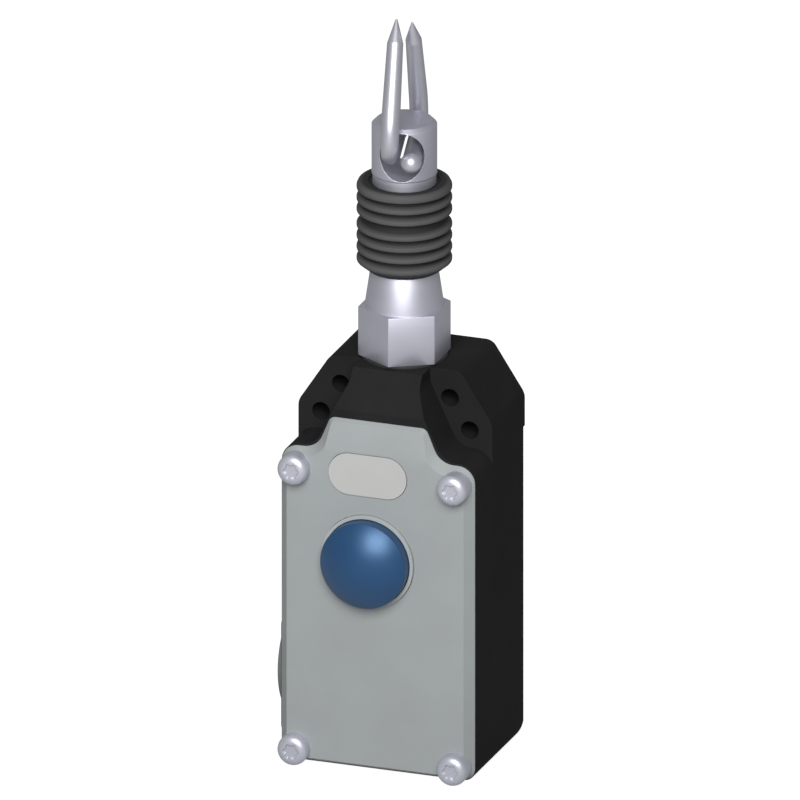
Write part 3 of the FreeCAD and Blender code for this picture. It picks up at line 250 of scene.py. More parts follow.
class Effects:
    """Shader node groups that several finishes share, each built once."""

    # Share of the pattern's scale that is left across the tool lines
    ACROSS_LINES = 0.02

    def __init__(self) -> None:
        """Starts with no group built."""
        self.groups: dict[str, bpy.types.NodeTree] = {}

    def _new(self, name: str, inputs: dict[str, float],
             outputs: tuple[str, ...]) -> tuple[NodeSheet, bpy.types.Node, bpy.types.Node]:
        """Starts a group with its sockets.

        Args:
            name: Name of the group.
            inputs: Names and first values of the inputs.
            outputs: Names of the outputs.

        Returns:
            The group's sheet, its input node and its output node.
        """
        tree = bpy.data.node_groups.new(name, "ShaderNodeTree")
        for label, value in inputs.items():
            socket = tree.interface.new_socket(name=label, in_out="INPUT",
                                               socket_type="NodeSocketFloat")
            socket.default_value = value
        for label in outputs:
            tree.interface.new_socket(name=label, in_out="OUTPUT", socket_type="NodeSocketFloat")
        self.groups[name] = tree
        sheet = NodeSheet(tree)
        return sheet, sheet.add("NodeGroupInput"), sheet.add("NodeGroupOutput")

    def grain(self) -> bpy.types.NodeTree:
        """Moulded or painted surface: fine grain height and a slow tone change.

        Returns:
            Group with the outputs Height and Tone.
        """
        name = "surface_grain"
        if name not in self.groups:
            sheet, given, out = self._new(name, {"Size": 2500.0, "Slow Size": 60.0},
                                          ("Height", "Tone"))
            place = sheet.add("ShaderNodeTexCoord").outputs["Object"]
            fine = sheet.noise(place, given.outputs["Size"], detail=2.0, roughness=0.6)
            slow = sheet.noise(place, given.outputs["Slow Size"], detail=3.0, roughness=0.55)
            sheet.join(fine, out.inputs["Height"])
            sheet.join(slow, out.inputs["Tone"])
        return self.groups[name]

    def painted_groove_shade(self) -> bpy.types.NodeTree:
        """Mask for the painted shade in the grooves between ribs: how far a point lies from the pull
        rod's axis.

        Returns:
            Group with the output Share, nought at Inner and one at Outer.
        """
        name = "painted_groove_shade"
        if name not in self.groups:
            sheet, given, out = self._new(name, {"Inner": 0.009, "Outer": 0.011}, ("Share",))
            place = sheet.add("ShaderNodeTexCoord").outputs["Object"]
            parts = sheet.add("ShaderNodeSeparateXYZ")
            sheet.join(place, parts.inputs["Vector"])
            across = sheet.math("MULTIPLY", parts.outputs["X"], parts.outputs["X"])
            along = sheet.math("MULTIPLY", parts.outputs["Y"], parts.outputs["Y"])
            radius = sheet.math("SQRT", sheet.math("ADD", across, along))
            past = sheet.math("SUBTRACT", radius, given.outputs["Inner"])
            span = sheet.math("SUBTRACT", given.outputs["Outer"], given.outputs["Inner"])
            share = sheet.ramp(sheet.math("DIVIDE", past, span), (0.0, 1.0))
            sheet.join(share, out.inputs["Share"])
        return self.groups[name]

    def turned_lines(self, axis: Axis) -> bpy.types.NodeTree:
        """Fine tool lines round an axis, as on turned or drawn metal.

        Args:
            axis: Axis that the lines run round.

        Returns:
            Group with the outputs Height and Tone.
        """
        name = "tool_lines_" + axis.name.lower()
        if name not in self.groups:
            sheet, given, out = self._new(name, {"Size": 6000.0, "Slow Size": 120.0},
                                          ("Height", "Tone"))
            place = sheet.add("ShaderNodeTexCoord").outputs["Object"]
            squeeze = sheet.add("ShaderNodeMapping")
            scale = [self.ACROSS_LINES] * 3
            scale[axis.value] = 1.0
            squeeze.inputs["Scale"].default_value = scale
            sheet.join(place, squeeze.inputs["Vector"])
            lines = sheet.noise(squeeze.outputs["Vector"], given.outputs["Size"], detail=2.0,
                                roughness=0.6)
            slow = sheet.noise(place, given.outputs["Slow Size"], detail=2.0, roughness=0.5)
            sheet.join(lines, out.inputs["Height"])
            sheet.join(slow, out.inputs["Tone"])
        return self.groups[name]


@dataclass(frozen=True)
class PaintedGrooveShade:
    """Painted shade in the grooves between ribs: a darker colour fading away from one radius to
    another, in metres.
    """

    inner: float
    outer: float
    colour: str


@dataclass(frozen=True)
class Finish:
    """One surface finish: two close colours, a grain and the shader's own constants.

    Depths and radii are in metres, and grain sizes in waves per metre.
    """

    name: str
    colour: str
    shade: str
    roughness: float
    roughness_spread: float = 0.08
    metallic: float = 0.0
    specular: float = 0.5
    tint: str = "#ffffff"
    grain_size: float = 2500.0
    slow_size: float = 60.0
    tone_range: tuple[float, float] = (0.3, 0.7)
    grain_range: tuple[float, float] = (0.2, 0.8)
    bump: float = 0.1
    bump_depth: float = 0.00003
    edge: float = 0.0002
    edge_samples: int = 6
    lines: Axis | None = None
    # Painted shade in the grooves between ribs, if the finish has it
    ribs: PaintedGrooveShade | None = None

    def build(self, effects: Effects) -> bpy.types.Material:
        """Builds the material.

        Args:
            effects: Shared node groups.

        Returns:
            The new material.
        """
        material = bpy.data.materials.new(self.name)
        material.use_nodes = True
        sheet = NodeSheet(material.node_tree)
        shader = material.node_tree.nodes["Principled BSDF"]
        shader.inputs["Metallic"].default_value = self.metallic
        shader.inputs["Specular IOR Level"].default_value = self.specular
        shader.inputs["Specular Tint"].default_value = linear(self.tint)
        effect = effects.grain() if self.lines is None else effects.turned_lines(self.lines)
        surface = sheet.group(effect, Size=self.grain_size, Slow_Size=self.slow_size)
        sheet.join(self.base_colour(sheet, surface, effects), shader.inputs["Base Color"])
        half = self.roughness_spread / 2
        rough = sheet.ramp(surface.outputs["Height"], self.grain_range,
                           (self.roughness - half, self.roughness + half))
        sheet.join(rough, shader.inputs["Roughness"])
        sheet.join(self.relief(sheet, surface), shader.inputs["Normal"])
        return material

    def base_colour(self, sheet: NodeSheet, surface: bpy.types.Node,
                    effects: Effects) -> bpy.types.NodeSocket:
        """Mixes the two colours by the slow tone, and paints shade into the grooves between ribs.

        Args:
            sheet: Sheet of the material.
            surface: Node of the grain or of the tool lines.
            effects: Shared node groups.

        Returns:
            The colour.
        """
        tone = sheet.ramp(surface.outputs["Tone"], self.tone_range)
        colour = sheet.mix(tone, linear(self.colour), linear(self.shade))
        # Painted shade: darker colour towards the grooves between ribs
        if self.ribs is not None:
            rings = sheet.group(effects.painted_groove_shade(), Inner=self.ribs.inner, Outer=self.ribs.outer)
            colour = sheet.mix(rings.outputs["Share"], linear(self.ribs.colour), colour)
        return colour

    def relief(self, sheet: NodeSheet, surface: bpy.types.Node) -> bpy.types.NodeSocket:
        """Softens the edges and raises the grain.

        Args:
            sheet: Sheet of the material.
            surface: Node of the grain or of the tool lines.

        Returns:
            The normal.
        """
        rounded_edge = sheet.add("ShaderNodeBevel", samples=self.edge_samples)
        rounded_edge.inputs["Radius"].default_value = self.edge
        bump = sheet.add("ShaderNodeBump")
        bump.inputs["Strength"].default_value = self.bump
        bump.inputs["Distance"].default_value = self.bump_depth
        sheet.join(rounded_edge.outputs["Normal"], bump.inputs["Normal"])
        sheet.join(surface.outputs["Height"], bump.inputs["Height"])
        return bump.outputs["Normal"]


HOUSING = Finish("housing_moulding", "#282829", "#232324", roughness=0.6, specular=0.015,
                 grain_size=1800.0, bump=0.2, edge=0.0003)
COVER = Finish("cover_paint", "#999e9f", "#95999a", roughness=0.55, specular=0.3, grain_size=2600.0)
BUTTON = Finish("button_blue", "#1d4167", "#1a3b5f", roughness=0.4, specular=1.2, tint="#a4ccf6",
                bump=0.02, edge=0.0004)
WINDOW = Finish("window_plastic", "#b6b6b5", "#b1b1b0", roughness=0.5, specular=0.3, bump=0.05)
COLLAR = Finish("collar_moulding", "#a9aead", "#a3a8a7", roughness=0.5, specular=0.4)
TURNED = Finish("turned_steel", "#c9c9d5", "#bfbfcb", roughness=0.5, metallic=0.85, lines=Axis.Z)
WIRE = Finish("drawn_wire", "#c6c6d0", "#bcbcc6", roughness=0.4, metallic=0.75)
SCREW = Finish("screw_steel", "#c4c6d1", "#babcc7", roughness=0.42, metallic=0.55)
SHEET = Finish("frame_sheet", "#b9b6a6", "#adaa9b", roughness=0.4, metallic=1.0)
# The bellows' rubber gets painted shade in the grooves between its ribs
RUBBER = Finish("bellows_rubber", "#545454", "#4e4e4e", roughness=0.7, specular=0.12, grain_size=3500.0,
                bump=0.15, edge=0.0001, ribs=PaintedGrooveShade(inner=0.0096, outer=0.0110, colour="#2c2c2c"))
SEAL = Finish("seal_rubber", "#2c2c2c", "#272727", roughness=0.6, grain_size=3500.0, bump=0.2)
BRASS = Finish("contact_brass", "#c9a55a", "#bd9a52", roughness=0.35, metallic=1.0)
GREY_PLASTIC = Finish("grey_moulding", "#737876", "#6d7270", roughness=0.5, bump=0.15)
INNER_PLASTIC = Finish("inner_moulding", "#cdc9bb", "#c5c1b3", roughness=0.5, bump=0.15)
FLAG = Finish("flag_plastic", "#c99a2b", "#c09327", roughness=0.45)

WORN_BY = {
    HOUSING: ["housing_body"],
    COVER: ["front_cover"],
    BUTTON: ["reset_button"],
    WINDOW: ["indicator_window"],
    TURNED: ["guide_bush", "pull_rod", "rod_head", "reset_stem", "spring_washer", "spring_seat",
             "latch_pin"],
    WIRE: ["front_hook", "rear_hook", "main_spring", "reset_spring", "latch_spring",
           "right_plunger_spring", "left_plunger_spring"],
    SCREW: ["cover_screws", "collar_screws", "frame_screws", "terminal_screws", "block_screws",
            "earth_screw", "rod_nut"],
    SHEET: ["mechanism_frame", "collar_plate", "latch_lever", "seat_clip"],
    RUBBER: ["bellows"],
    SEAL: ["cover_gasket", "reset_seal", "bush_washer", "rod_seal"],
    COLLAR: ["reset_collar"],
    BRASS: ["right_fixed_contacts", "left_fixed_contacts", "right_contact_bridge",
            "left_contact_bridge", "earth_clamp"],
    GREY_PLASTIC: ["side_entry_plug", "plug_seal"],
    INNER_PLASTIC: ["right_contact_block", "left_contact_block", "right_contact_plunger",
                    "left_contact_plunger", "cam_sleeve", "bush_sleeve", "lower_guide"],
    FLAG: ["indicator_flag"],
}


@dataclass
class Dresser:
    """Gives the carried-over pieces their finishes."""

    effects: Effects
    materials: dict[str, bpy.types.Material] = field(default_factory=dict)

    def material(self, finish: Finish) -> bpy.types.Material:
        """Looks up a finish's material, which is built once.

        Args:
            finish: Finish wanted.

        Returns:
            Its material.
        """
        if finish.name not in self.materials:
            self.materials[finish.name] = finish.build(self.effects)
        return self.materials[finish.name]

    def dress(self, nodes: dict[str, bpy.types.Object]) -> None:
        """Puts each finish on its nodes.

        Args:
            nodes: Carried-over pieces by name.
        """
        for finish, names in WORN_BY.items():
            for name in names:
                for slot in nodes[name].material_slots:
                    slot.material = self.material(finish)
                log.info("%s wears %s", name, finish.name)


def arc(centre: Vector, radius: float, start: float, sweep: float, steps: int) -> list[Vector]:
    """Steps along an arc in a flat view.

    Args:
        centre: Centre of the arc.
        radius: Its radius.
        start: Angle of its first point.
        sweep: Angle from the first point to the last.
        steps: Number of steps.

    Returns:
        The points, with both ends.
    """
    angles = [start + sweep * step / steps for step in range(steps + 1)]
    return [centre + Vector((math.cos(angle), math.sin(angle))) * radius for angle in angles]


def at_depth(points: list[Vector], depth: float) -> list[Vector]:
    """Stands a front view's outline upright at a depth.

    Args:
        points: Outline in millimetres.
        depth: Distance towards the viewer, in millimetres.

    Returns:
        The outline in metres.
    """
    return [Vector((point.x, -depth, point.y)) * MM for point in points]


def loop(mesh: bmesh.types.BMesh, points: list[Vector]) -> list[bmesh.types.BMEdge]:
    """Draws a closed loop of edges.

    Args:
        mesh: Mesh under work.
        points: Corners in metres, in order round the loop.

    Returns:
        One edge for each corner, which ends there.
    """
    corners = [mesh.verts.new(point) for point in points]
    return [mesh.edges.new((corners[i - 1], corners[i])) for i in range(len(corners))]


def bridge(mesh: bmesh.types.BMesh, loops: list[list[bmesh.types.BMEdge]]) -> None:
    """Joins each loop to the next by a wall.

    Two loops at one depth are joined first, because beside other walls the join would twist.

    Args:
        mesh: Mesh under work.
        loops: Loops of edges, in order along the wall.
    """
    pairs = list(zip(loops, loops[1:]))
    pairs.sort(key=lambda pair: abs(pair[0][0].verts[0].co.y - pair[1][0].verts[0].co.y) > WELD)
    for first, second in pairs:
        bmesh.ops.bridge_loops(mesh, edges=first + second)


def turn(mesh: bmesh.types.BMesh, profile: list[tuple[float, float]], segments: int) -> None:
    """Adds a closed outline turned round the pull rod's axis.

    Args:
        mesh: Mesh under work.
        profile: Corners as radius and height in millimetres, in order round the outline.
        segments: Steps of the full turn.
    """
    edges = loop(mesh, [Vector((radius, 0.0, height)) * MM for radius, height in profile])
    corners = [edge.verts[1] for edge in edges]
    bmesh.ops.spin(mesh, geom=corners + edges, cent=(0.0, 0.0, 0.0), axis=(0.0, 0.0, 1.0),
                   angle=math.tau, steps=segments, use_merge=True)
    bmesh.ops.remove_doubles(mesh, verts=mesh.verts, dist=WELD)
    on_axis = [edge for edge in mesh.edges if edge.is_wire]
    bmesh.ops.delete(mesh, geom=on_axis, context="EDGES")
    bmesh.ops.recalc_face_normals(mesh, faces=mesh.faces)


def rounded(profile: list[tuple[float, float]], radius: float, most: float = 0.45,
            pull: float = 0.4) -> list[tuple[float, float]]:
    """Rounds every corner of a closed outline with two short steps.

    Args:
        profile: Corners as radius and height in millimetres.
        radius: Distance from a corner at which its rounding starts.
        most: Largest share of an edge that a rounding takes.
        pull: How near the middle of a rounding stays to its corner.

    Returns:
        The outline with three corners for each one given.
    """
    softened = []
    for index, corner in enumerate(profile):
        here = Vector(corner)
        before = Vector(profile[index - 1]) - here
        after = Vector(profile[(index + 1) % len(profile)]) - here
        first = here + before.normalized() * min(radius, before.length * most)
        last = here + after.normalized() * min(radius, after.length * most)
        middle = ((first + last) / 2).lerp(here, pull)
        softened.extend(tuple(point) for point in (first, middle, last))
    return softened


def piece(name: str, mesh: bmesh.types.BMesh, material: bpy.types.Material,
          sharp_from: float) -> bpy.types.Object:
    """Makes a scene object of a finished mesh.

    Args:
        name: Name of the object.
        mesh: Shape in metres, where it lies on the switch. It is freed here.
        material: Finish of the piece.
        sharp_from: Angle in degrees above which an edge stays sharp.

    Returns:
        The new object.
    """
    data = bpy.data.meshes.new(name)
    mesh.to_mesh(data)
    mesh.free()
    data.materials.append(material)
    data.set_sharp_from_angle(angle=math.radians(sharp_from))
    made = bpy.data.objects.new(name, data)
    bpy.context.collection.objects.link(made)
    log.info("%s has %d faces", name, len(data.polygons))
    return made


@dataclass
class Bellows:
    """Rubber bellows between the bush and the rod head, in millimetres."""

    ridge_radius: float = 11.15
    groove_radius: float = 9.5
    wall: float = 0.9
    first_ridge: float = 121.3
    pitch: float = 2.8
    ridges: int = 7
    wide_after: int = 4
    wide_extra: float = 1.0
    ridge_flat: float = 0.45
    ridge_half: float = 1.2
    lip_low: float = 118.75
    lip_low_radius: float = 7.15
    lip_high: float = 139.85
    lip_high_radius: float = 6.75
    lip_height: float = 1.5
    mouth_radius: float = 8.4
    mouth_chamfer: float = 0.5
    top: float = 140.5
    softness: float = 0.2
    segments: int = 96

    def heights(self) -> list[float]:
        """Counts up the ridges, with the wider step in the middle.

        Returns:
            Heights of the ridges.
        """
        return [self.first_ridge + self.pitch * index
                + (self.wide_extra if index >= self.wide_after else 0.0)
                for index in range(self.ridges)]

    def outer(self) -> list[tuple[float, float]]:
        """Follows the outside of the wall, from the foot up.

        Returns:
            Corners as radius and height.
        """
        corners = []
        for height in self.heights():
            corners.extend([
                (self.groove_radius, height - self.ridge_half),
                (self.ridge_radius, height - self.ridge_flat),
                (self.ridge_radius, height + self.ridge_flat),
                (self.groove_radius, height + self.ridge_half),
            ])
        return corners[1:-1]

    def inner(self) -> list[tuple[float, float]]:
        """Follows the inside of the wall, from the head down.

        Returns:
            Corners as radius and height.
        """
        low = self.groove_radius - self.wall
        corners = []
        for height in reversed(self.heights()[1:-1]):
            corners.extend([
                (low, height + self.ridge_half),
                (self.ridge_radius - self.wall, height),
                (low, height - self.ridge_half),
            ])
        return corners

    def profile(self) -> list[tuple[float, float]]:
        """Joins the whole wall and its two lips.

        Returns:
            Corners as radius and height, round the outline.
        """
        inside = self.groove_radius - self.wall
        foot = [
            (inside, self.lip_low + self.lip_height),
            (self.lip_low_radius, self.lip_low + self.lip_height),
            (self.lip_low_radius, self.lip_low),
            (inside, self.lip_low),
        ]
        head = [
            (self.ridge_radius - self.mouth_chamfer, self.top),
            (self.mouth_radius, self.top),
            (self.mouth_radius, self.lip_high),
            (self.lip_high_radius, self.lip_high),
            (self.lip_high_radius, self.lip_high - self.lip_height),
            (inside, self.lip_high - self.lip_height),
        ]
        return foot + self.outer() + head + self.inner()

    def build(self, material: bpy.types.Material) -> None:
        """Adds the bellows between the housing and the pull rod.

        Args:
            material: Rubber of the bellows.
        """
        mesh = bmesh.new()
        turn(mesh, rounded(self.profile(), self.softness), self.segments)
        made = piece("bellows_rubber", mesh, material, sharp_from=50.0)
        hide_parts("bellows")
        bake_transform(made)


@dataclass
class GuideBush:
    """Steel bush with sharp spanner flats and a cone, in millimetres."""

    bore: float = 5.5
    shank_radius: float = 8.95
    shank_low: float = 86.0
    cone_radius: float = 9.25
    cone_low: float = 108.7
    cone_top_radius: float = 7.95
    cone_top: float = 118.6
    groove_radius: float = 7.0
    groove_top: float = 121.0
    rim_radius: float = 7.6
    top: float = 122.5
    across_flats: float = 19.0
    flats_low: float = 97.6
    flats_high: float = 109.7
    turned_softness: float = 0.1
    flats_softness: float = 0.15
    segments: int = 96

    def profile(self) -> list[tuple[float, float]]:
        """Follows the bored shank, the cone and the groove that holds the bellows.

        Returns:
            Corners as radius and height, round the outline.
        """
        return [
            (self.bore, self.shank_low),
            (self.shank_radius, self.shank_low),
            (self.shank_radius, self.cone_low),
            (self.cone_radius, self.cone_low),
            (self.cone_radius, self.flats_high),
            (self.cone_top_radius, self.cone_top),
            (self.groove_radius, self.cone_top),
            (self.groove_radius, self.groove_top),
            (self.rim_radius, self.groove_top),
            (self.rim_radius, self.top),
            (self.bore, self.top),
        ]

    def flats(self) -> bmesh.types.BMesh:
        """Makes the six-sided bar, with a corner to the front and softened edges.

        Returns:
            The bar.
        """
        mesh = bmesh.new()
        corner_radius = self.across_flats / 2 / math.cos(math.pi / 6)
        bmesh.ops.create_circle(mesh, cap_ends=True, radius=corner_radius * MM, segments=6,
                                matrix=Matrix.Translation((0.0, 0.0, self.flats_low * MM)))
        raised = bmesh.ops.extrude_face_region(mesh, geom=mesh.faces[:])["geom"]
        top = [part for part in raised if isinstance(part, bmesh.types.BMVert)]
        bmesh.ops.translate(mesh, verts=top,
                            vec=(0.0, 0.0, (self.flats_high - self.flats_low) * MM))
        bmesh.ops.bevel(mesh, geom=mesh.edges[:], offset=self.flats_softness * MM, segments=2,
                        profile=0.5, affect="EDGES", material=-1)
        return mesh

    def build(self, material: bpy.types.Material) -> None:
        """Adds the bush to the housing.

        Args:
            material: Turned steel.
        """
        mesh = self.flats()
        turn(mesh, rounded(self.profile(), self.turned_softness), self.segments)
        made = piece("guide_bush_steel", mesh, material, sharp_from=35.0)
        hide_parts("guide_bush")
        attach(made, "housing")


@dataclass
class CoverCap:
    """Front cover with a broad bevel and a sloped tongue, and its gasket, in millimetres."""

    half_width: float = 23.9
    bottom: float = 0.2
    corner_radius: float = 3.0
    side_height: float = 78.1
    lobe_radius: float = 4.2
    waist_half: float = 15.2
    waist_radius: float = 5.0
    tongue_half: float = 11.8
    tongue_height: float = 86.3
    tongue_radius: float = 1.8
    least_radius: float = 0.15
    corner_steps: int = 8
    joint: float = 17.5
    wall_end: float = 17.7
    front: float = 20.0
    bevel: float = 2.0
    foot_bevel: float = 1.3
    slope_start: float = 79.4
    slope_rise: float = 1.5
    slope_length: float = 6.5
    groove_outer: float = 0.6
    groove_inner: float = 1.9
    groove_floor: float = 18.3
    gasket_gap: float = 0.05
    middle: float = -1.8
    window_centre: float = 73.6
    window_width: float = 19.5
    window_height: float = 10.4
    window_steps: int = 32
    button_centre: float = 52.4
    button_radius: float = 11.5
    button_steps: int = 96

    def corners(self) -> list[tuple[Vector, float]]:
        """Lists the outline's corners, counted round once.

        Returns:
            Each corner with its radius.
        """
        half = [
            (self.half_width, self.bottom, self.corner_radius),
            (self.half_width, self.side_height, self.lobe_radius),
            (self.waist_half, self.side_height, self.waist_radius),
            (self.tongue_half, self.tongue_height, self.tongue_radius),
        ]
        whole = half + [(-x, z, radius) for x, z, radius in reversed(half)]
        return [(Vector((x, z)), radius) for x, z, radius in whole]

    def outline(self, inset: float) -> list[Vector]:
        """Moves the outline inwards, with the same number of points for every inset.

        Args:
            inset: Distance inwards.

        Returns:
            Points round the outline.
        """
        given = self.corners()
        points = []
        for index, (corner, radius) in enumerate(given):
            before = (corner - given[index - 1][0]).normalized()
            after = (given[(index + 1) % len(given)][0] - corner).normalized()
            in_before = Vector((-before.y, before.x))
            in_after = Vector((-after.y, after.x))
            moved = corner + (in_before + in_after) * inset / (1 + in_before.dot(in_after))
            way = math.copysign(1.0, before.cross(after))
            bend = max(radius - way * inset, self.least_radius)
            sweep = before.angle(after)
            spoke = in_before * -way
            centre = moved - before * bend * math.tan(sweep / 2) - spoke * bend
            points += arc(centre, bend, math.atan2(spoke.y, spoke.x), way * sweep,
                          self.corner_steps)
        return points

    def face(self) -> list[Vector]:
        """Outlines the front face, whose foot has the narrower bevel.

        Returns:
            Points round the face.
        """
        drop = Vector((0.0, self.bevel - self.foot_bevel))
        return [point - drop if point.y < self.side_height / 2 else point
                for point in self.outline(self.bevel)]

    def openings(self) -> list[list[Vector]]:
        """Outlines the openings for the window and the button.

        Returns:
            Points round each opening.
        """
        bend = self.window_height / 2
        window = []
        for side in (1, -1):
            centre = Vector((self.middle + side * (self.window_width / 2 - bend),
                             self.window_centre))
            window += arc(centre, bend, -side * math.pi / 2, math.pi, self.window_steps)
        button = arc(Vector((self.middle, self.button_centre)), self.button_radius, 0.0, math.tau,
                     self.button_steps)
        return [window, button[:-1]]

    def groove(self, mesh: bmesh.types.BMesh, gap: float) -> list[list[bmesh.types.BMEdge]]:
        """Draws the loops of the gasket's groove, or of the gasket in it.

        Args:
            mesh: Mesh under work.
            gap: Distance that the loops keep from the groove's walls.

        Returns:
            Loops from the outer rim over the floor to the inner rim.
        """
        outer = self.outline(self.groove_outer + gap)
        inner = self.outline(self.groove_inner - gap)
        floor = self.groove_floor - gap
        return [loop(mesh, at_depth(outline, depth)) for outline, depth in (
            (outer, self.joint), (outer, floor), (inner, floor), (inner, self.joint),
        )]

    def slope(self, mesh: bmesh.types.BMesh) -> None:
        """Cuts the tongue's slope and closes the cut.

        Args:
            mesh: Cover under work.
        """
        away = Vector((0.0, -self.slope_length, self.slope_rise)).normalized()
        cut = bmesh.ops.bisect_plane(
            mesh, geom=mesh.verts[:] + mesh.edges[:] + mesh.faces[:], dist=ON_PLANE,
            plane_co=(0.0, -self.front * MM, self.slope_start * MM), plane_no=away,
            clear_outer=True,
        )
        rim = [part for part in cut["geom_cut"] if isinstance(part, bmesh.types.BMEdge)]
        bmesh.ops.triangle_fill(mesh, edges=rim, normal=away, use_beauty=True)

    def build(self, material: bpy.types.Material) -> None:
        """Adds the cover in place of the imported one.

        Args:
            material: Cover paint.
        """
        mesh = bmesh.new()
        rim = self.outline(0.0)
        shell = [loop(mesh, at_depth(outline, depth)) for outline, depth in (
            (rim, self.joint), (rim, self.wall_end), (self.face(), self.front),
        )]
        groove = self.groove(mesh, 0.0)
        back = shell[0] + groove[0] + groove[-1]
        front = shell[-1]
        bridge(mesh, shell)
        bridge(mesh, groove)
        for opening in self.openings():
            hole = [loop(mesh, at_depth(opening, depth)) for depth in (self.joint, self.front)]
            bridge(mesh, hole)
            back = back + hole[0]
            front = front + hole[1]
        for edges, outward in ((back, (0.0, 1.0, 0.0)), (front, (0.0, -1.0, 0.0))):
            bmesh.ops.triangle_fill(mesh, edges=edges, normal=outward, use_beauty=True)
        self.slope(mesh)
        bmesh.ops.recalc_face_normals(mesh, faces=mesh.faces)
        made = piece("front_cover_cap", mesh, material, sharp_from=14.0)
        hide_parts("front_cover")
        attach(made, "housing")

    def build_gasket(self, material: bpy.types.Material) -> None:
        """Adds the gasket that lies in the cover's groove.

        Args:
            material: Rubber of the seals.
        """
        mesh = bmesh.new()
        loops = self.groove(mesh, self.gasket_gap)
        bridge(mesh, loops + loops[:1])
        bmesh.ops.recalc_face_normals(mesh, faces=mesh.faces)
        made = piece("cover_gasket_ring", mesh, material, sharp_from=30.0)
        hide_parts("cover_gasket")
        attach(made, "housing")


@dataclass
class CoverScrews:
    """Four pan-head screws with a shallow six-lobed recess, in millimetres."""

    half_spacing: float = 19.7
    low: float = 3.75
    high: float = 73.5
    shank_radius: float = 2.0
    shank_end: float = 7.2
    shank_chamfer: float = 0.4
    radius: float = 3.7
    seat: float = 18.4
    shoulder: float = 21.9
    crown: float = 23.4
    crown_inset: tuple[float, ...] = (0.0, 0.12, 0.45, 1.0)
    crown_rise: tuple[float, ...] = (0.0, 0.5, 0.95, 1.3)
    lobes: int = 6
    lobe_radius: float = 1.75
    lobe_depth: float = 0.22
    lobe_rim: float = 0.35
    lobe_lip: float = 0.02
    lobe_taper: float = 0.15
    recess: float = 0.45
    steps: int = 60

    def rings(self) -> list[tuple[float, float, float]]:
        """Follows one screw from its shank's end to the floor of its recess.

        Returns:
            Radius, depth of the lobes and place along the screw of each ring.
        """
        shank = [
            (self.shank_radius - self.shank_chamfer, 0.0, self.shank_end),
            (self.shank_radius, 0.0, self.shank_end + self.shank_chamfer),
            (self.shank_radius, 0.0, self.seat),
            (self.radius, 0.0, self.seat),
        ]
        head = [(self.radius - inset, 0.0, self.shoulder + rise)
                for inset, rise in zip(self.crown_inset, self.crown_rise)]
        recess = [
            (self.lobe_radius + self.lobe_rim, 0.0, self.crown),
            (self.lobe_radius, self.lobe_depth, self.crown - self.lobe_lip),
            (self.lobe_radius - self.lobe_taper, self.lobe_depth, self.crown - self.recess),
        ]
        return shank + head + recess

    def add(self, mesh: bmesh.types.BMesh, centre: Vector) -> None:
        """Adds one screw on its axis along the depth.

        Args:
            mesh: Mesh under work.
            centre: Place of its axis in the front view.
        """
        loops = []
        for radius, lobe, depth in self.rings():
            points = []
            for step in range(self.steps):
                angle = math.tau * step / self.steps
                reach = radius + lobe * math.cos(self.lobes * angle)
                points.append(centre + Vector((math.cos(angle), math.sin(angle))) * reach)
            loops.append(loop(mesh, at_depth(points, depth)))
        bridge(mesh, loops)
        for end in (loops[0], loops[-1]):
            bmesh.ops.edgeloop_fill(mesh, edges=end)

    def build(self, material: bpy.types.Material) -> None:
        """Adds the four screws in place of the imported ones.

        Args:
            material: Screw steel.
        """
        mesh = bmesh.new()
        for x in (-self.half_spacing, self.half_spacing):
            for z in (self.low, self.high):
                self.add(mesh, Vector((x, z)))
        bmesh.ops.recalc_face_normals(mesh, faces=mesh.faces)
        made = piece("cover_screws_steel", mesh, material, sharp_from=32.0)
        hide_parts("cover_screws")
        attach(made, "housing")


@dataclass
class EntryPlug:
    """Blanking plug of the left cable entry, in millimetres."""

    height: float = 19.2
    side: float = 24.0
    seal: float = 1.2
    head: float = 1.5
    head_radius: float = 13.2
    thread_radius: float = 9.2
    thread_length: float = 8.5
    wall: float = 1.7
    floor: float = 0.8
    dish_depth: float = 0.6
    dish_radius: float = 8.0
    dish_slope: float = 0.8
    softness: float = 0.3
    segments: int = 96

    def profile(self) -> list[tuple[float, float]]:
        """Follows the hollow plug, outwards from the middle of the switch.

        Returns:
            Corners as radius and distance from the middle, round the outline.
        """
        seat = self.side + self.seal
        face = seat + self.head
        bore = self.thread_radius - self.wall
        return [
            (0.0, face - self.dish_depth),
            (self.dish_radius, face - self.dish_depth),
            (self.dish_radius + self.dish_slope, face),
            (self.head_radius, face),
            (self.head_radius, seat),
            (self.thread_radius, seat),
            (self.thread_radius, seat - self.thread_length),
            (bore, seat - self.thread_length),
            (bore, seat - self.floor),
            (0.0, seat - self.floor),
        ]

    def build(self, material: bpy.types.Material) -> None:
        """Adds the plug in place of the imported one.

        Args:
            material: Grey moulding.
        """
        mesh = bmesh.new()
        turn(mesh, rounded(self.profile(), self.softness), self.segments)
        mesh.transform(Matrix.Translation((0.0, 0.0, self.height * MM))
                       @ Matrix.Rotation(-math.pi / 2, 4, "Y"))
        made = piece("entry_plug_head", mesh, material, sharp_from=40.0)
        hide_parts("side_entry_plug")
        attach(made, "housing")


@dataclass(frozen=True)
class Spring:
    """A coil spring, in millimetres; the real one shortens with its joint, this copy stays as it is."""

    node: str
    joint: str
    axis: Axis
    fixed_end: float
    travel: float

    def build(self, packed: bpy.types.Object, material: bpy.types.Material) -> None:
        """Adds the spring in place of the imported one.

        Args:
            packed: The carried-over spring.
            material: Drawn wire.
        """
        mesh = bmesh.new()
        mesh.from_mesh(packed.data)
        mesh.transform(packed.matrix_world)
        bmesh.ops.remove_doubles(mesh, verts=mesh.verts, dist=WELD)
        end = self.fixed_end * MM
        made = piece(self.node + "_coil", mesh, material, sharp_from=60.0)
        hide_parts(self.node)
        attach(made, "housing")
        self.axis.along(1.0)
        self.axis.along(end)
        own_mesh(made)


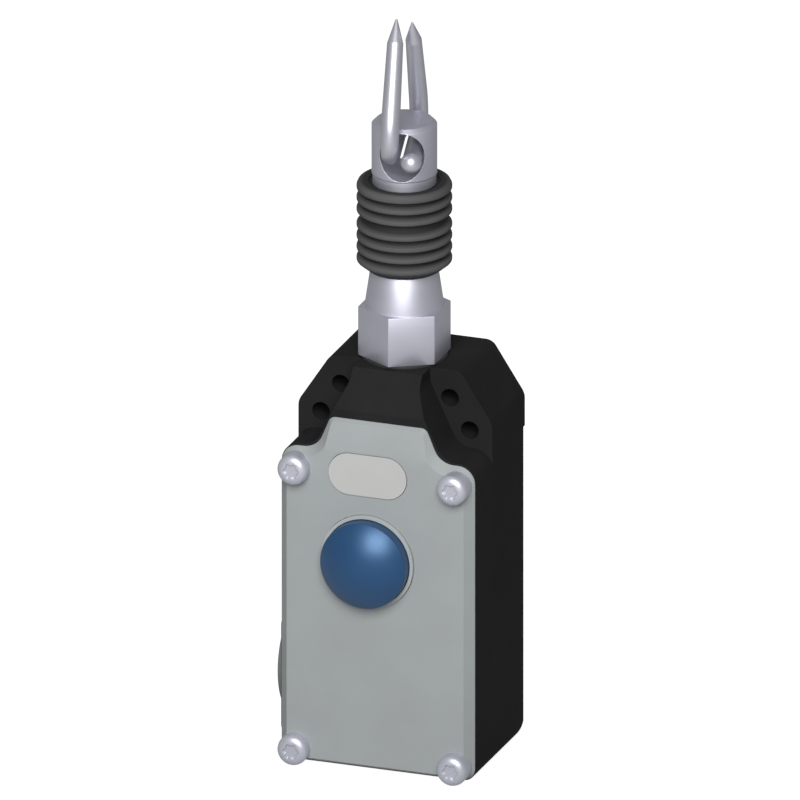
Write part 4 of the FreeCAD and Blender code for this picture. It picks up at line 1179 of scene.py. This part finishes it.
SPRINGS = [
    Spring("main_spring", "rod_pull", Axis.Z, fixed_end=84.6, travel=10.0),
    Spring("reset_spring", "reset_push", Axis.Y, fixed_end=-15.8, travel=3.0),
    Spring("right_plunger_spring", "right_plunger_slide", Axis.X, fixed_end=19.5, travel=2.5),
    Spring("left_plunger_spring", "left_plunger_slide", Axis.X, fixed_end=-19.5, travel=2.5),
]


@dataclass
class Studio:
    """Camera, floor, one soft lamp and white surroundings, in metres and degrees."""

    pixels_per_mm: float = 4.3
    azimuth: float = 20.0
    elevation: float = 21.0
    origin_x: float = 404.4
    origin_y: float = 743.6
    frame_size: float = 800.0
    distance: float = 0.9
    nearest: float = 0.01
    farthest: float = 10.0
    lamp_azimuth: float = 15.0
    lamp_elevation: float = 33.0
    lamp_distance: float = 0.9
    lamp_target: float = 0.09
    lamp_side: float = 0.55
    lamp_power: float = 9.9
    room_light: float = 0.15
    room_gloss: float = 0.22
    floor_reach: float = 3.0
    floor_drop: float = 0.0002
    floor_tone: float = 0.4
    floor_roughness: float = 0.9
    floor_glow: float = 0.9

    def direction(self, azimuth: float, elevation: float) -> Vector:
        """Turns two angles into a direction seen from the switch.

        Args:
            azimuth: Degrees to the right of the cover's front.
            elevation: Degrees above the floor.

        Returns:
            The unit direction.
        """
        aside = math.radians(azimuth)
        lift = math.radians(elevation)
        return Vector((math.sin(aside) * math.cos(lift), -math.cos(aside) * math.cos(lift),
                       math.sin(lift)))

    def camera(self) -> None:
        """Places the parallel-view camera so that the origin falls at its place in the picture."""
        back = self.direction(self.azimuth, self.elevation)
        aside = math.radians(self.azimuth)
        right = Vector((math.cos(aside), math.sin(aside), 0.0))
        up = back.cross(right)
        middle = self.frame_size / 2
        scale = MM / self.pixels_per_mm
        target = right * (middle - self.origin_x) * scale + up * (self.origin_y - middle) * scale
        data = bpy.data.cameras.new("photo_camera")
        data.type = "ORTHO"
        data.ortho_scale = self.frame_size * scale
        data.clip_start = self.nearest
        data.clip_end = self.farthest
        camera = bpy.data.objects.new("photo_camera", data)
        camera.matrix_world = Matrix((right, up, back)).transposed().to_4x4()
        camera.location = target + back * self.distance
        bpy.context.collection.objects.link(camera)
        bpy.context.scene.camera = camera

    def lamp(self) -> None:
        """Hangs the soft lamp a little to the right of the cover's front and above it."""
        data = bpy.data.lights.new("soft_lamp", "AREA")
        data.size = self.lamp_side
        data.energy = self.lamp_power
        lamp = bpy.data.objects.new("soft_lamp", data)
        way = self.direction(self.lamp_azimuth, self.lamp_elevation)
        lamp.location = Vector((0.0, 0.0, self.lamp_target)) + way * self.lamp_distance
        lamp.rotation_euler = way.to_track_quat("Z", "Y").to_euler()
        bpy.context.collection.objects.link(lamp)

    def background_share(self, sheet: NodeSheet) -> bpy.types.NodeSocket:
        """Finds how much of the white background a ray sees.

        Args:
            sheet: Sheet of the floor or of the world.

        Returns:
            One from the camera and through glass, a part of it in reflections, else nought.
        """
        path = sheet.add("ShaderNodeLightPath")
        seen = sheet.math("MAXIMUM", path.outputs["Is Camera Ray"],
                          path.outputs["Is Transmission Ray"])
        gloss = sheet.math("MULTIPLY", path.outputs["Is Glossy Ray"], self.room_gloss)
        return sheet.math("MAXIMUM", seen, gloss)

    def floor(self) -> None:
        """Lays a pale floor that shows white away from the shadow."""
        mesh = bmesh.new()
        bmesh.ops.create_grid(mesh, x_segments=1, y_segments=1, size=self.floor_reach)
        data = bpy.data.meshes.new("floor")
        mesh.to_mesh(data)
        mesh.free()
        floor = bpy.data.objects.new("floor", data)
        floor.location = (0.0, 0.0, -self.floor_drop)
        bpy.context.collection.objects.link(floor)
        material = bpy.data.materials.new("pale_floor")
        material.use_nodes = True
        sheet = NodeSheet(material.node_tree)
        shader = material.node_tree.nodes["Principled BSDF"]
        shader.inputs["Base Color"].default_value = (self.floor_tone,) * 3 + (1.0,)
        shader.inputs["Roughness"].default_value = self.floor_roughness
        shader.inputs["Specular IOR Level"].default_value = 0.0
        shader.inputs["Emission Color"].default_value = WHITE
        glow = sheet.math("MULTIPLY", self.background_share(sheet), self.floor_glow)
        sheet.join(glow, shader.inputs["Emission Strength"])
        data.materials.append(material)

    def surroundings(self) -> None:
        """Makes the world white to the camera and a dim plain light to the switch."""
        world = bpy.data.worlds.new("white_room")
        bpy.context.scene.world = world
        world.use_nodes = True
        sheet = NodeSheet(world.node_tree)
        ground = world.node_tree.nodes["Background"]
        ground.inputs["Color"].default_value = WHITE
        strength = sheet.ramp(self.background_share(sheet), (0.0, 1.0), (self.room_light, 1.0))
        sheet.join(strength, ground.inputs["Strength"])

    def build(self) -> None:
        """Sets up the whole studio."""
        self.camera()
        self.lamp()
        self.floor()
        self.surroundings()
        log.info("studio ready")


def main() -> None:
    """Builds the scene piece by piece."""
    logging.basicConfig(level=logging.INFO, format="%(message)s")
    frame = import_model()
    bpy.context.scene.view_settings.view_transform = "Standard"
    dresser = Dresser(Effects())
    dresser.dress(frame["nodes"])
    Bellows().build(dresser.material(RUBBER))
    GuideBush().build(dresser.material(TURNED))
    cover = CoverCap()
    cover.build(dresser.material(COVER))
    cover.build_gasket(dresser.material(SEAL))
    CoverScrews().build(dresser.material(SCREW))
    EntryPlug().build(dresser.material(GREY_PLASTIC))
    for spring in SPRINGS:
        spring.build(frame["nodes"][spring.node], dresser.material(WIRE))
    Studio().build()


if __name__ == "__main__":
    main()
